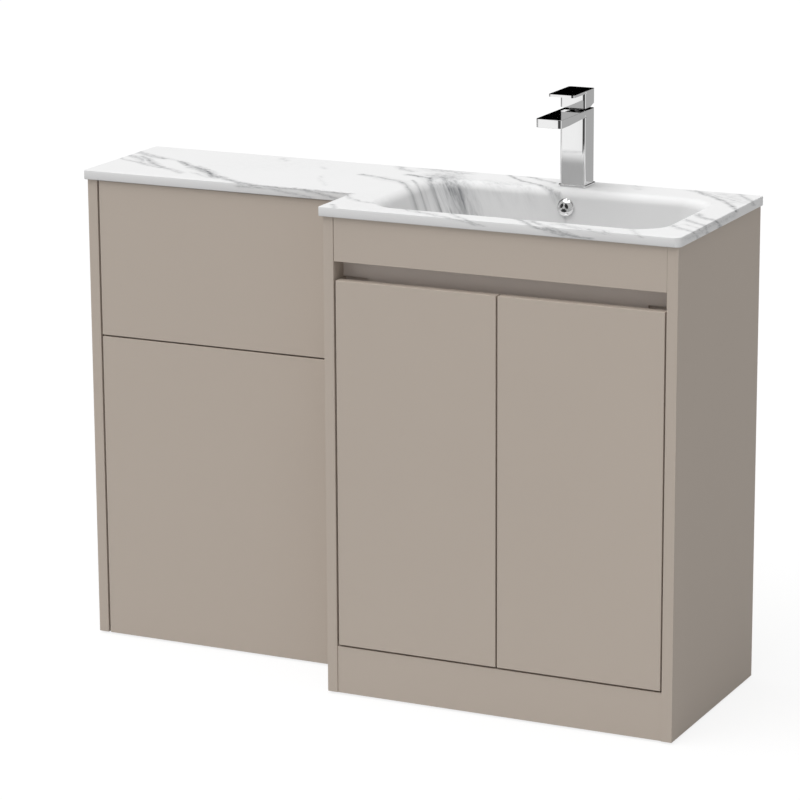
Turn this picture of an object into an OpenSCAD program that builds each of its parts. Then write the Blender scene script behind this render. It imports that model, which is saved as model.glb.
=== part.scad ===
// Bathroom furniture in two joined units: a shallow toilet unit on the left and a
// deeper basin unit on the right, under one moulded worktop with its own bowl.
// X runs to the right, the fronts face minus Y and Z runs up from the floor.

/* [Units] */
// Width of the toilet unit
wc_w = 500; // [460:5:600]
// Depth of the toilet unit
wc_d = 240; // [215:5:280]
// Width of the basin unit
basin_w = 600; // [590:5:700]
// Depth of the basin unit
basin_d = 362; // [356:1:420]
// Height of both units without the worktop
carcass_h = 792; // [770:1:860]
// Thickness of the carcass boards
board_t = 18; // [16:1:20]
// Thickness of the glides under the gables
glide_t = 3; // [2:0.5:5]
// Diameter of a glide
glide_dia = 14; // [10:1:15]
// Height of the upright rails at the back
rail_h = 80; // [60:5:90]

/* [Fronts] */
// Thickness of the doors, the fascia and the toilet unit's panels
front_t = 18; // [18:0.5:20]
// Gap between one front and the next
gap = 2.5; // [2.2:0.1:4]
// Height of the plinth's top edge
plinth_h = 82; // [70:1:120]
// How far the plinth stands back from the gables' front edges
plinth_setback = 1.5; // [0:0.5:5]
// Gap between the plinth and the doors
foot_gap = 3; // [2:0.5:5]
// Height of the fascia
fascia_h = 71.5; // [60:0.5:80]
// Height of the finger recess over the doors
recess_h = 30.5; // [25:0.5:36]
// Depth of the finger recess
recess_d = 35; // [32:0.5:38]
// Thickness of the profile that closes the recess
recess_rail_t = 12; // [8:1:13]
// How far that profile's lip lies under the doors' top edges
lip_drop = 12; // [10:1:16]
// How far the profile stands up behind the fascia
recess_up = 10; // [6:1:12]
// Height of the split between the toilet unit's panels
split_z = 526.7; // [480:0.5:560]
// Gap over the upper panel
panel_top_gap = 1; // [0.5:0.5:3]
// Depth of the flat rail under the toilet unit's top
top_rail_d = 60; // [50:5:90]
// Diameter of a door buffer
buffer_dia = 9; // [6:1:11]

/* [Shelf] */
// Height of the shelf's underside over the floor
shelf_z = 342; // [300:1:420]
// Depth of the shelf
shelf_d = 240; // [180:5:262]
// How far the shelf stands behind the doors
shelf_setback = 30; // [25:1:40]
// Side gap of the shelf
shelf_gap = 1; // [0.5:0.5:2]
// Diameter of the shelf pins and of their holes
pin_dia = 5; // [4:0.5:6]
// Depth of a shelf pin's hole
pin_hole_d = 10; // [8:1:12]
// Spacing of the shelf pin holes
pin_pitch = 32; // [25:1:40]
// Number of shelf pin holes above and under the one in use
pin_spare = 2; // [1:1:3]

/* [Worktop] */
// Thickness of the worktop
slab_t = 16; // [12:1:20]
// Overhang over the fronts
over_front = 5; // [2:1:12]
// Overhang over the outer sides
over_side = 4; // [0:1:10]
// Overhang over the basin unit's left side
over_step = 5.5; // [2:0.5:10]
// Radius of the worktop's free front corner
corner_r = 12; // [4:1:20]

/* [Bowl] */
// Width of the bowl at its rim
bowl_w = 512; // [480:1:516]
// Depth of the ledge behind the bowl, which carries the tap
ledge_d = 63; // [61:1:80]
// Distance of the rim behind the basin unit's front
bowl_front = 27; // [25:1:32]
// How far the bowl's middle lies right of the unit's middle
bowl_off = 5; // [-10:1:10]
// Plan radius of the bowl's corners at the rim
bowl_r = 62; // [50:1:80]
// Depth of the bowl
bowl_h = 118; // [90:1:120]
// Radius of the soft rim
rim_r = 18; // [12:1:20]
// Radius between the bowl's walls and its floor
floor_r = 26; // [15:1:30]
// Slope of the bowl's front wall from upright
draft_front = 16; // [14:1:20]
// Slope of the bowl's back wall from upright
draft_back = 9; // [5:1:12]
// Slope of the bowl's side walls from upright
draft_side = 15; // [10:1:25]
// Thickness of the bowl's walls and floor
bowl_t = 8; // [6:1:9]
// How far the waste lies behind the bowl's middle
waste_back = 14; // [0:1:20]

/* [Waste] */
// Radius of the waste's tail thread
tail_r = 20.95; // [20:0.05:24]
// Diameter of the waste's flange
flange_dia = 66; // [60:1:70]
// Diameter of the click plug's cap
plug_dia = 60; // [50:1:62]
// How far the plug rises when it opens
plug_travel = 7; // [4:1:9]
// Length of the waste's tail under the boss
tail_l = 52; // [40:1:60]
// Diameter of the boss round the waste hole
boss_dia = 74; // [70:1:80]
// Depth of the boss under the bowl's floor
boss_l = 34; // [30:1:40]
// Diameter of the overflow's hole
overflow_dia = 22; // [18:1:24]
// Depth of the overflow under the worktop's surface
overflow_drop = 29; // [26:1:34]
// Outer width of the overflow duct
duct_w = 44; // [38:1:50]
// Outer depth of the overflow duct
duct_d = 16; // [12:1:17]
// Wall of the overflow duct
duct_t = 3; // [2:0.5:3.5]

/* [Tap] */
// How far the tap, the overflow and the waste lie left of the unit's middle
tap_off = 2; // [-10:1:10]
// Distance of the tap's middle from the worktop's back edge
tap_back = 38; // [34:1:42]
// Width of the tap's body
tap_w = 45; // [38:1:46]
// Depth of the tap's body
tap_d = 40; // [38:1:44]
// Height of the tap's body and spout
tap_h = 126; // [110:1:140]
// Side of the square base
base_w = 48; // [46:1:56]
// Thickness of the base
base_t = 4; // [3:0.5:6]
// Reach of the spout in front of the body
spout_reach = 99; // [80:1:110]
// Thickness of the spout at its tip
spout_t = 14; // [12:1:18]
// Diameter of the worktop's tap hole
tap_hole_dia = 35; // [33:1:37]
// Diameter of the cartridge's barrel
barrel_dia = 30; // [28:1:32]
// Gap between the body and the handle
handle_gap = 3.6; // [3.4:0.1:6]
// Height of the handle's block with its plate
handle_h = 28; // [25:0.5:32]
// Thickness of the handle's flat plate
handle_plate_t = 4; // [3:0.5:6]
// How far the plate reaches in front of the body
handle_reach = 48; // [35:1:60]
// How far the handle lifts, in degrees
lift_angle = 20; // [12:1:20]
// Radius of the body's and the handle's upright edges
tap_r = 3; // [1:0.5:5]
// Length of the slope under the handle's heel
heel_l = 20; // [14:1:20]
// Height of the slope under the handle's heel
heel_h = 6; // [5:0.5:8]

/* [Door hinges] */
// Distance of the hinge pin from the door's edge
hinge_u = 30; // [30:0.5:31]
// Distance of the hinge pin behind the door's front face
hinge_v = 10.5; // [10.5:0.1:10.8]
// Diameter of the hinge cup
cup_dia = 35; // [35:0.5:36]
// Depth of the hinge cup
cup_d = 12; // [11.9:0.1:12.3]
// Distance of the cup's middle from the door's edge
cup_u = 22.5; // [22:0.5:23]
// Height of the hinges above and under the door's ends
hinge_end = 90; // [70:5:120]
// How far the doors open, in degrees
door_open = 95; // [90:1:95]
// Radius of the hinge pin
hinge_pin_r = 1.5; // [1.2:0.1:1.6]
// Thickness of the hinge arm's steel
arm_t = 2.4; // [2:0.1:2.5]
// Height of the hinge arm
arm_h = 10; // [8:1:12]

/* [Fits] */
// Radial clearance of a turning pin
run_clear = 0.05; // [0.03:0.01:0.08]
// Clearance between parts that move past each other
move_clear = 0.3; // [0.3:0.05:0.4]

/* [Hidden] */
$fn = 48;
corner_fn = 32;
eps = 0.02;

x_left = -(wc_w + basin_w) / 2;
x_joint = x_left + wc_w;
x_right = x_joint + basin_w;
y_back = (basin_d + over_front) / 2;
y_front = y_back - basin_d;
y_wc = y_back - wc_d;
basin_in_l = x_joint + board_t;
basin_in_r = x_right - board_t;
wc_in_l = x_left + board_t;
wc_in_r = x_joint - board_t;
basin_mid = (x_joint + x_right) / 2;
top_z = carcass_h + slab_t;
fascia_z = carcass_h - fascia_h;
door_top = fascia_z - recess_h;
door_bottom = plinth_h + foot_gap;
door_w = (basin_in_r - basin_in_l - 3 * gap) / 2;
inner_y = y_front + front_t;
greige = "#a9a095";

// A board between two corners
module board(a, b) {
    translate(a) cube(b - a);
}

// A strip of sheet metal that follows points in plan, with mitred bends
function side_of(p, i) = let (d = (p[i + 1] - p[i]) / norm(p[i + 1] - p[i])) [-d[1], d[0]];
function mitre(p, i) = let (a = side_of(p, max(i - 1, 0)), b = side_of(p, min(i, len(p) - 2)))
    (a + b) / (1 + a * b);
module strip(p, t) polygon(concat([for (i = [0 : len(p) - 1]) p[i] + mitre(p, i) * t / 2],
    [for (i = [len(p) - 1 : -1 : 0]) p[i] - mitre(p, i) * t / 2]));

// Basin unit
connector_hole_dia = 8;
connector_inset = 45;
connector_low = 240;
connector_drop = 190;
connector_ys = [y_wc + connector_inset, y_back - connector_inset];
connector_zs = [connector_low, carcass_h - connector_drop];
module connector_places() {
    for (y = connector_ys, z = connector_zs) translate([x_joint, y, z]) rotate([0, 90, 0]) children();
}
shelf_y = inner_y + shelf_setback;
pin_inset = 37;
pin_ys = [shelf_y + pin_inset, shelf_y + shelf_d - pin_inset];
shelf_peg_h = 4;
pin_z = shelf_z - shelf_peg_h / 2;
module pin_holes(x) {
    for (y = pin_ys, k = [-pin_spare : pin_spare])
        translate([x, y, pin_z + k * pin_pitch]) rotate([0, 90, 0])
            cylinder(d = pin_dia, h = pin_hole_d);
}
screw_pitch = 32;
screw_dia = 4;
screw_l = 11;
hinge_zs = [door_bottom + hinge_end, door_top - hinge_end];
plate_setback = 44;
plate_v = front_t + plate_setback;
module plate_screw_places() {
    for (z = hinge_zs, s = [-1, 1]) translate([0, y_front + plate_v, z + s * screw_pitch / 2]) children();
}
bracket_hole_dia = 6.5;
bracket_w = 24;
bracket_leg = 36;
bracket_t = 2;
bracket_z = carcass_h - rail_h - 30;
bracket_screw_dia = 4;

module basin_gable_left() color(greige) difference() {
    board([x_joint, y_front, glide_t], [basin_in_l, y_back, carcass_h]);
    connector_places() translate([0, 0, -1]) cylinder(d = connector_hole_dia, h = board_t + 2);
    pin_holes(basin_in_l - pin_hole_d);
    plate_screw_places() translate([basin_in_l, 0, 0]) rotate([0, -90, 0])
        cylinder(d = screw_dia, h = screw_l);
}
module basin_gable_right() color(greige) difference() {
    board([basin_in_r, y_front, glide_t], [x_right, y_back, carcass_h]);
    pin_holes(basin_in_r);
    plate_screw_places() translate([basin_in_r, 0, 0]) rotate([0, 90, 0])
        cylinder(d = screw_dia, h = screw_l);
}
plinth_y = y_front + plinth_setback;
module plinth() color(greige)
    board([basin_in_l, plinth_y, glide_t], [basin_in_r, plinth_y + board_t, plinth_h]);
module basin_base() color(greige)
    board([basin_in_l, plinth_y + board_t, plinth_h - board_t], [basin_in_r, y_back, plinth_h]);
module fascia() color(greige)
    board([basin_in_l, y_front, fascia_z], [basin_in_r, inner_y, carcass_h]);

// The profile behind the finger recess: a web with a lip at its foot, notched at
// both ends for the doors' hinge edges, which swing inwards
lip_z = door_top - lip_drop;
lip_front = 2;
web_y = y_front + recess_d;
web_back = web_y + recess_rail_t;
rail_notch_d = hinge_v + norm([hinge_u, hinge_v]) + 3 * move_clear - front_t;
rail_notch_w = gap + hinge_u + (front_t - hinge_v) * cos(door_open - 90) + hinge_u * sin(door_open - 90)
    + 3 * move_clear;
module recess_rail() color(greige) difference() {
    translate([basin_in_l, 0, 0]) rotate([90, 0, 90]) linear_extrude(basin_in_r - basin_in_l)
        polygon([[inner_y + lip_front, lip_z - recess_rail_t], [web_back, lip_z - recess_rail_t],
            [web_back, fascia_z + recess_up], [web_y, fascia_z + recess_up],
            [web_y, lip_z], [inner_y + lip_front, lip_z]]);
    for (x = [basin_in_l, basin_in_r - rail_notch_w]) translate([x, inner_y, 0])
        cube([rail_notch_w, rail_notch_d, door_top + move_clear]);
}
module basin_rail_top() color(greige)
    board([basin_in_l, y_back - board_t, carcass_h - rail_h], [basin_in_r, y_back, carcass_h]);
module basin_rail_bottom() color(greige)
    board([basin_in_l, y_back - board_t, plinth_h], [basin_in_r, y_back, plinth_h + rail_h]);
module shelf() color(greige)
    board([basin_in_l + shelf_gap, shelf_y, shelf_z],
        [basin_in_r - shelf_gap, shelf_y + shelf_d, shelf_z + board_t]);

// A shelf pin: a round stem in the gable and a flat peg under the shelf
peg_l = 9;
peg_w = 8;
module shelf_pin() {
    rotate([0, -90, 0]) cylinder(d = pin_dia, h = pin_hole_d);
    translate([0, -peg_w / 2, -shelf_peg_h / 2]) cube([peg_l, peg_w, shelf_peg_h]);
}
module shelf_pins() color("silver") for (y = pin_ys) {
    translate([basin_in_l, y, pin_z]) shelf_pin();
    translate([basin_in_r, y, pin_z]) mirror([1, 0, 0]) shelf_pin();
}

// Toilet unit
stud_head_dia = 14;
stud_head_t = 2;
stud_dia = 6;
stud_l = 10;
socket_dia = 12;
socket_d = 13;
stud_inset = 60;
middle_rail_h = 80;
middle_rail_z = split_z - middle_rail_h / 2;
stud_xs = [wc_in_l + stud_inset, wc_in_r - stud_inset];
stud_zs = [split_z + middle_rail_h / 4, carcass_h - board_t / 2];
wc_rail_y = y_wc + front_t;
module stud_places() {
    for (x = stud_xs, z = stud_zs) translate([x, wc_rail_y, z]) rotate([-90, 0, 0]) children();
}
module wc_gable_left() color(greige)
    board([x_left, y_wc, glide_t], [wc_in_l, y_back, carcass_h]);
module wc_gable_right() color(greige) difference() {
    board([wc_in_r, y_wc, glide_t], [x_joint, y_back, carcass_h]);
    connector_places() translate([0, 0, -board_t - 1]) cylinder(d = connector_hole_dia, h = board_t + 2);
}
module wc_rail_front_top() color(greige) difference() {
    board([wc_in_l, wc_rail_y, carcass_h - board_t], [wc_in_r, wc_rail_y + top_rail_d, carcass_h]);
    stud_places() cylinder(d = socket_dia, h = socket_d);
}
module wc_rail_middle() color(greige) difference() {
    board([wc_in_l, wc_rail_y, middle_rail_z],
        [wc_in_r, wc_rail_y + board_t, middle_rail_z + middle_rail_h]);
    stud_places() cylinder(d = socket_dia, h = socket_d);
}
module wc_rail_foot() color(greige)
    board([wc_in_l, wc_rail_y, glide_t], [wc_in_r, wc_rail_y + board_t, glide_t + rail_h]);
module wc_rail_back_top() color(greige)
    board([wc_in_l, y_back - board_t, carcass_h - rail_h], [wc_in_r, y_back, carcass_h]);
module wc_rail_back_bottom() color(greige)
    board([wc_in_l, y_back - board_t, glide_t], [wc_in_r, y_back, glide_t + rail_h]);
module wc_panel_lower() color(greige)
    board([wc_in_l + gap, y_wc, glide_t], [wc_in_r - gap, wc_rail_y, split_z - gap / 2]);
module wc_panel_upper() color(greige) difference() {
    board([wc_in_l + gap, y_wc, split_z + gap / 2], [wc_in_r - gap, wc_rail_y, carcass_h - panel_top_gap]);
    stud_places() translate([0, 0, -stud_head_t]) cylinder(d = stud_head_dia, h = stud_head_t + 1);
}

// Push studs on the upper panel and the sockets that grip them
module panel_studs() color("gainsboro") stud_places() {
    translate([0, 0, -stud_head_t]) cylinder(d = stud_head_dia, h = stud_head_t - eps);
    translate([0, 0, -eps]) cylinder(d = stud_dia, h = stud_l - stud_dia / 2);
    translate([0, 0, stud_l - stud_dia / 2]) sphere(d = stud_dia);
}
module panel_sockets() color("white") stud_places() difference() {
    cylinder(d = socket_dia, h = socket_d);
    translate([0, 0, -1]) cylinder(d = stud_dia + 2 * move_clear, h = stud_l + 2);
}

// A bolt and sleeve through the two gables that meet
connector_head_dia = 15;
connector_head_t = 1.5;
module unit_connectors() color("silver") connector_places() {
    translate([0, 0, -board_t]) cylinder(d = connector_hole_dia, h = 2 * board_t);
    for (s = [-1, 1]) translate([0, 0, s * (board_t + connector_head_t / 2)])
        cylinder(d = connector_head_dia, h = connector_head_t, center = true);
}
glide_inset = 30;
module glides() color("dimgray") {
    for (x = [x_left, wc_in_r], y = [y_wc + glide_inset, y_back - glide_inset])
        translate([x + board_t / 2, y, 0]) cylinder(d1 = glide_dia - 2, d2 = glide_dia, h = glide_t);
    for (x = [x_joint, basin_in_r], y = [y_front + glide_inset, y_back - glide_inset])
        translate([x + board_t / 2, y, 0]) cylinder(d1 = glide_dia - 2, d2 = glide_dia, h = glide_t);
}

// An angle bracket: one leg on the gable and one on the wall
bracket_hole_x = bracket_leg * 0.6;
module wall_bracket() difference() {
    union() {
        translate([0, -bracket_leg, 0]) cube([bracket_t, bracket_leg, bracket_w]);
        translate([0, -bracket_t, 0]) cube([bracket_leg, bracket_t, bracket_w]);
    }
    translate([bracket_hole_x, 1, bracket_w / 2]) rotate([90, 0, 0])
        cylinder(d = bracket_hole_dia, h = bracket_t + 2);
    translate([-1, -bracket_hole_x, bracket_w / 2]) rotate([0, 90, 0])
        cylinder(d = bracket_screw_dia, h = bracket_t + 2);
}
module wall_brackets() color("silver") {
    for (x = [wc_in_l, basin_in_l]) translate([x, y_back, bracket_z]) wall_bracket();
    for (x = [wc_in_r, basin_in_r]) translate([x, y_back, bracket_z]) mirror([1, 0, 0]) wall_bracket();
}

// Worktop and bowl
tap_x = basin_mid - tap_off;
tap_y = y_back - tap_back;
bowl_x = basin_mid + bowl_off;
rim_y0 = y_front + bowl_front;
rim_y1 = y_back - ledge_d;
rim_angles = [0, 24, 46, 66, 80];
floor_z = top_z - bowl_h;
wall_from = rim_r * (1 - cos(rim_angles[4]));
// Shares of the floor's radius at which its rounding starts, how far it has come in
// halfway, and where it ends
bend_start = 0.75;
bend_half = 0.25;
bend_half_in = 0.3;
bend_in = 0.9;
bend_shell = 0.6;
wall_to = bowl_h - floor_r * bend_start;
floor_from = bowl_h - floor_r * bend_half;

// How far the cavity has drawn in at a depth, for a wall of a given slope
function rim_in(a) = rim_r * sin(a);
function wall_in(d, slope) = rim_in(rim_angles[4]) + (d - wall_from) * tan(slope);
function knee_in(slope) = wall_in(wall_to, slope) + floor_r * bend_half_in;
function floor_in(slope) = wall_in(wall_to, slope) + floor_r * bend_in;

// One level of the cavity, or of the shell round it where grow isn't zero
module level(depth, side, front, back, grow) {
    r = max(bowl_r - (side + front) / 3, 12) + grow;
    for (x = [bowl_x - bowl_w / 2 + side - grow + r, bowl_x + bowl_w / 2 - side + grow - r],
         y = [rim_y0 + front - grow + r, rim_y1 - back + grow - r])
        translate([x, y, top_z - depth - eps]) cylinder(r = r, h = 2 * eps, $fn = corner_fn);
}
module bowl_body(grow) hull() {
    level(wall_from, wall_in(wall_from, draft_side), wall_in(wall_from, draft_front),
        wall_in(wall_from, draft_back), grow);
    level(wall_to, wall_in(wall_to, draft_side), wall_in(wall_to, draft_front),
        wall_in(wall_to, draft_back), grow);
    level(floor_from + grow * bend_shell, knee_in(draft_side), knee_in(draft_front),
        knee_in(draft_back), grow);
    level(bowl_h + grow, floor_in(draft_side), floor_in(draft_front), floor_in(draft_back), grow);
}
module bowl_rim() {
    for (i = [1 : len(rim_angles) - 1]) hull() {
        level(rim_r * (1 - cos(rim_angles[i - 1])), rim_in(rim_angles[i - 1]), rim_in(rim_angles[i - 1]),
            rim_in(rim_angles[i - 1]), 0);
        level(rim_r * (1 - cos(rim_angles[i])), rim_in(rim_angles[i]), rim_in(rim_angles[i]),
            rim_in(rim_angles[i]), 0);
    }
}
module worktop_plan() difference() {
    polygon([[x_left - over_side, y_back], [x_left - over_side, y_wc - over_front],
        [x_joint - over_step, y_wc - over_front], [x_joint - over_step, y_front - over_front],
        [x_right + over_side, y_front - over_front], [x_right + over_side, y_back]]);
    translate([x_right + over_side - corner_r, y_front - over_front + corner_r]) difference() {
        translate([0, -corner_r - 1]) square(corner_r + 1);
        circle(r = corner_r);
    }
}
waste_y = (rim_y0 + rim_y1) / 2 + waste_back;
boss_z = floor_z - boss_l;
shank_r = tail_r + 0.3;
waste_hole_dia = 2 * shank_r + 1.5;
seat_d = 2.5;
overflow_z = top_z - overflow_drop;
overflow_y = rim_y1 - wall_in(overflow_drop, draft_back);
port_w = duct_w - 2 * duct_t;
port_h = 12;
port_z = boss_z + 9;
module at_overflow() translate([tap_x, overflow_y, overflow_z]) rotate([90 - draft_back, 0, 0]) children();
module overflow_hole() at_overflow() translate([0, 0, -bowl_t - duct_t - 2])
    cylinder(d = overflow_dia, h = bowl_t + duct_t + 2 + rim_r);
module worktop_basin() color("white") difference() {
    union() {
        translate([0, 0, carcass_h]) linear_extrude(slab_t) worktop_plan();
        bowl_body(bowl_t);
        translate([tap_x, waste_y, boss_z]) cylinder(d = boss_dia, h = boss_l);
    }
    bowl_rim();
    bowl_body(0);
    translate([tap_x, tap_y, carcass_h - 1]) cylinder(d = tap_hole_dia, h = slab_t + 2);
    translate([tap_x, waste_y, boss_z - 1]) cylinder(d = waste_hole_dia, h = boss_l + 2);
    translate([tap_x, waste_y, floor_z - seat_d]) cylinder(d = flange_dia + 1, h = seat_d + 1);
    overflow_hole();
    translate([tap_x - port_w / 2, waste_y, port_z]) cube([port_w, boss_dia / 2 + 1, port_h]);
}

// The overflow duct: a tube down the bowl's back and forward to the boss
duct_fit = 0.1;
function shell_y(d) = rim_y1 - wall_in(d, draft_back) + bowl_t + duct_fit;
duct_y = shell_y(wall_to);
module duct_profile(t) polygon([[shell_y(slab_t) + t, carcass_h - t], [duct_y + t, top_z - wall_to],
    [duct_y + t, port_z + port_h + duct_t - t], [waste_y, port_z + port_h + duct_t - t],
    [waste_y, port_z - duct_t + t], [duct_y + duct_d - t, port_z - duct_t + t],
    [duct_y + duct_d - t, top_z - wall_to], [shell_y(slab_t) + duct_d - t, carcass_h - t]]);
module overflow_duct() color("whitesmoke") difference() {
    translate([tap_x - duct_w / 2, 0, 0]) rotate([90, 0, 90]) linear_extrude(duct_w) duct_profile(0);
    translate([tap_x - port_w / 2, 0, 0]) rotate([90, 0, 90]) linear_extrude(port_w) duct_profile(duct_t);
    translate([tap_x, waste_y, boss_z]) cylinder(d = boss_dia, h = boss_l);
    overflow_hole();
}

// The domed chrome cover in the overflow's hole, with three curved slots round its hub
cover_r = 14;
cover_wall = 1.6;
cover_tube_r = overflow_dia / 2;
cover_lip = 2;
cover_h = 9;
slot_r = 4;
slot_wide = 5;
slot_turn = 74;
module dome(r, low, high) rotate_extrude()
    polygon(concat([[0, 0], [r, 0]], [for (a = [0 : 15 : 90]) [r * cos(a), low + (high - low) * sin(a)]]));
module overflow_cover() color("silver") at_overflow() difference() {
    union() {
        dome(cover_r, cover_lip, cover_h);
        translate([0, 0, -bowl_t]) cylinder(r = cover_tube_r, h = bowl_t + eps);
    }
    translate([0, 0, -eps]) dome(cover_tube_r - cover_wall, cover_lip, cover_h - cover_wall);
    translate([0, 0, -bowl_t - 1]) cylinder(r = cover_tube_r - cover_wall, h = bowl_t + 1);
    for (a = [30, 150, 270]) rotate(a - slot_turn / 2) rotate_extrude(angle = slot_turn)
        translate([slot_r, cover_lip]) square([slot_wide, cover_h]);
}

// Click waste
seal_t = 1;
flange_t = 2;
tail_wall = 2.5;
waste_washer_t = 3;
waste_nut_t = 10;
flange_z = floor_z - seat_d + seal_t;
nut_z = boss_z - waste_washer_t - waste_nut_t;
stem_r = 4;
hub_r = 7;
hub_l = 16;
hub_z = floor_z - 24;
slot_w = 12;
spoke_w = 3;
flange_bevel = 1.5;
washer_in = 3;
nut_in = 4;
module waste_body() color("silver") translate([tap_x, waste_y, 0]) {
    difference() {
        union() {
            translate([0, 0, flange_z])
                cylinder(d1 = flange_dia, d2 = flange_dia - 2 * flange_bevel, h = flange_t);
            translate([0, 0, nut_z]) cylinder(r = shank_r, h = flange_z + 1 - nut_z);
            translate([0, 0, boss_z - tail_l]) cylinder(r = tail_r, h = tail_l);
        }
        translate([0, 0, boss_z - tail_l - 1])
            cylinder(r = tail_r - tail_wall, h = flange_z + flange_t - boss_z + tail_l + 2);
        for (a = [0, 90]) rotate(a) translate([-slot_w / 2, -boss_dia / 2, port_z])
            cube([slot_w, boss_dia, port_h]);
    }
    difference() {
        union() {
            translate([0, 0, hub_z]) cylinder(r = hub_r, h = hub_l);
            for (a = [45 : 120 : 285]) rotate(a) translate([0, -spoke_w / 2, hub_z])
                cube([tail_r - tail_wall / 2, spoke_w, hub_l / 2]);
        }
        translate([0, 0, hub_z - 1]) cylinder(r = stem_r + run_clear, h = hub_l + 2);
    }
}
module waste_seal() color("dimgray") translate([tap_x, waste_y, floor_z - seat_d]) difference() {
    cylinder(d = flange_dia - 2 * flange_bevel, h = seal_t);
    translate([0, 0, -1]) cylinder(r = shank_r, h = seal_t + 2);
}
module waste_washer() color("dimgray") translate([tap_x, waste_y, boss_z - waste_washer_t]) difference() {
    cylinder(d = boss_dia - 2 * washer_in, h = waste_washer_t);
    translate([0, 0, -1]) cylinder(r = shank_r, h = waste_washer_t + 2);
}
module waste_nut() color("gainsboro") translate([tap_x, waste_y, nut_z]) difference() {
    cylinder(d = boss_dia - 2 * nut_in, h = waste_nut_t, $fn = 6);
    translate([0, 0, -1]) cylinder(r = shank_r, h = waste_nut_t + 2);
}
plug_cap_t = 5;
plug_edge = 1.6;
plug_shoulder = 3;
plug_shoulder_in = 2;
plug_crown = 4.4;
plug_z = flange_z + flange_t + move_clear;
module waste_plug() color("silver") translate([tap_x, waste_y, 0]) {
    translate([0, 0, plug_z]) rotate_extrude() polygon([[0, 0], [plug_dia / 2, 0],
        [plug_dia / 2, plug_edge], [plug_dia / 2 - plug_shoulder_in, plug_shoulder], [plug_dia / 3, plug_crown],
        [plug_dia / 6, plug_cap_t], [0, plug_cap_t]]);
    translate([0, 0, hub_z - plug_travel]) cylinder(r = stem_r, h = plug_z - hub_z + plug_travel + eps);
}

// Basin mixer tap
tap_top = top_z + tap_h;
spout_root_t = 11;
barrel_l = 36;
drum_r = 10;
drum_l = 14;
drum_up = 1.2;
drum_floor = 2;
slot_front = 6.5;
slot_rear = 7.5;
pivot_drop = 5;
pivot_r = 1.5;
pivot_l = 17;
stem_w = 7;
inlet_r = 4.5;
inlet_l = 14;
inlet_x = 8.5;
inlet_y = 5;
stud_y = -9;
tap_stud_dia = 8;
tap_stud_in = 12;
tap_stud_out = 42;
gasket_t = 1.5;
gasket_out = 22;
aerator_dia = 20;
aerator_t = 5;
aerator_wall = 2;
aerator_cup = 2;
aerator_in = 17;
aerator_rim = aerator_dia / 2 + 4;
aerator_y = -tap_d / 2 - spout_reach + aerator_in;
jet_r = 5.2;
jet_dia = 2.4;
module at_tap() translate([tap_x, tap_y, 0]) children();
module side_profile(w) translate([-w / 2, 0, 0]) rotate([90, 0, 90]) linear_extrude(w) children();
module gasket_ring() difference() {
    cylinder(r = gasket_out, h = gasket_t);
    translate([0, 0, -1]) cylinder(d = tap_hole_dia + 1, h = gasket_t + 2);
}
// A rectangle with round corners, from a place in front to a place behind
module round_plan(w, front, back, r) {
    translate([-w / 2 + r, front]) square([w - 2 * r, back - front]);
    translate([-w / 2, front + r]) square([w, back - front - 2 * r]);
    for (x = [-1, 1], y = [front + r, back - r]) translate([x * (w / 2 - r), y]) circle(r = r);
}
module tap_body() color("silver") at_tap() difference() {
    union() {
        translate([0, 0, top_z]) linear_extrude(base_t) round_plan(base_w, -base_w / 2, base_w / 2, tap_r);
        translate([0, 0, top_z]) linear_extrude(tap_h) round_plan(tap_w, -tap_d / 2, tap_d / 2, tap_r);
        intersection() {
            side_profile(tap_w) polygon([[0, tap_top], [-tap_d / 2 - spout_reach, tap_top],
                [-tap_d / 2 - spout_reach, tap_top - spout_t], [aerator_y + aerator_rim, tap_top - spout_t],
                [-tap_d / 2, tap_top - spout_root_t], [0, tap_top - spout_root_t]]);
            translate([0, 0, top_z]) linear_extrude(tap_h)
                round_plan(tap_w, -tap_d / 2 - spout_reach, tap_d / 2, tap_r);
        }
    }
    translate([0, 0, tap_top - barrel_l]) cylinder(d = barrel_dia, h = barrel_l + 1);
    translate([0, 0, top_z]) gasket_ring();
    for (s = [-1, 1]) translate([s * inlet_x, inlet_y, top_z - 1]) cylinder(r = inlet_r, h = inlet_l + 1);
    translate([0, stud_y, top_z - 1]) cylinder(d = tap_stud_dia, h = tap_stud_in + 1);
    translate([0, aerator_y, tap_top - spout_t - 1]) cylinder(d = aerator_dia, h = aerator_t + 1);
}
module tap_gasket() color("dimgray") at_tap() translate([0, 0, top_z]) gasket_ring();
module tap_aerator() color("gainsboro") at_tap() translate([0, aerator_y, tap_top - spout_t]) difference() {
    cylinder(d = aerator_dia, h = aerator_t);
    translate([0, 0, -1]) cylinder(d = aerator_dia - 2 * aerator_wall, h = aerator_cup + 1);
    for (a = [0 : 45 : 315]) rotate(a) translate([jet_r, 0, -1])
        cylinder(d = jet_dia, h = aerator_t + 2);
}
module tap_cartridge() color("gainsboro") at_tap() difference() {
    translate([0, 0, tap_top - barrel_l]) cylinder(d = barrel_dia, h = barrel_l);
    translate([0, 0, tap_top - drum_l - move_clear]) cylinder(r = drum_r + run_clear, h = drum_l + 1);
}

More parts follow.
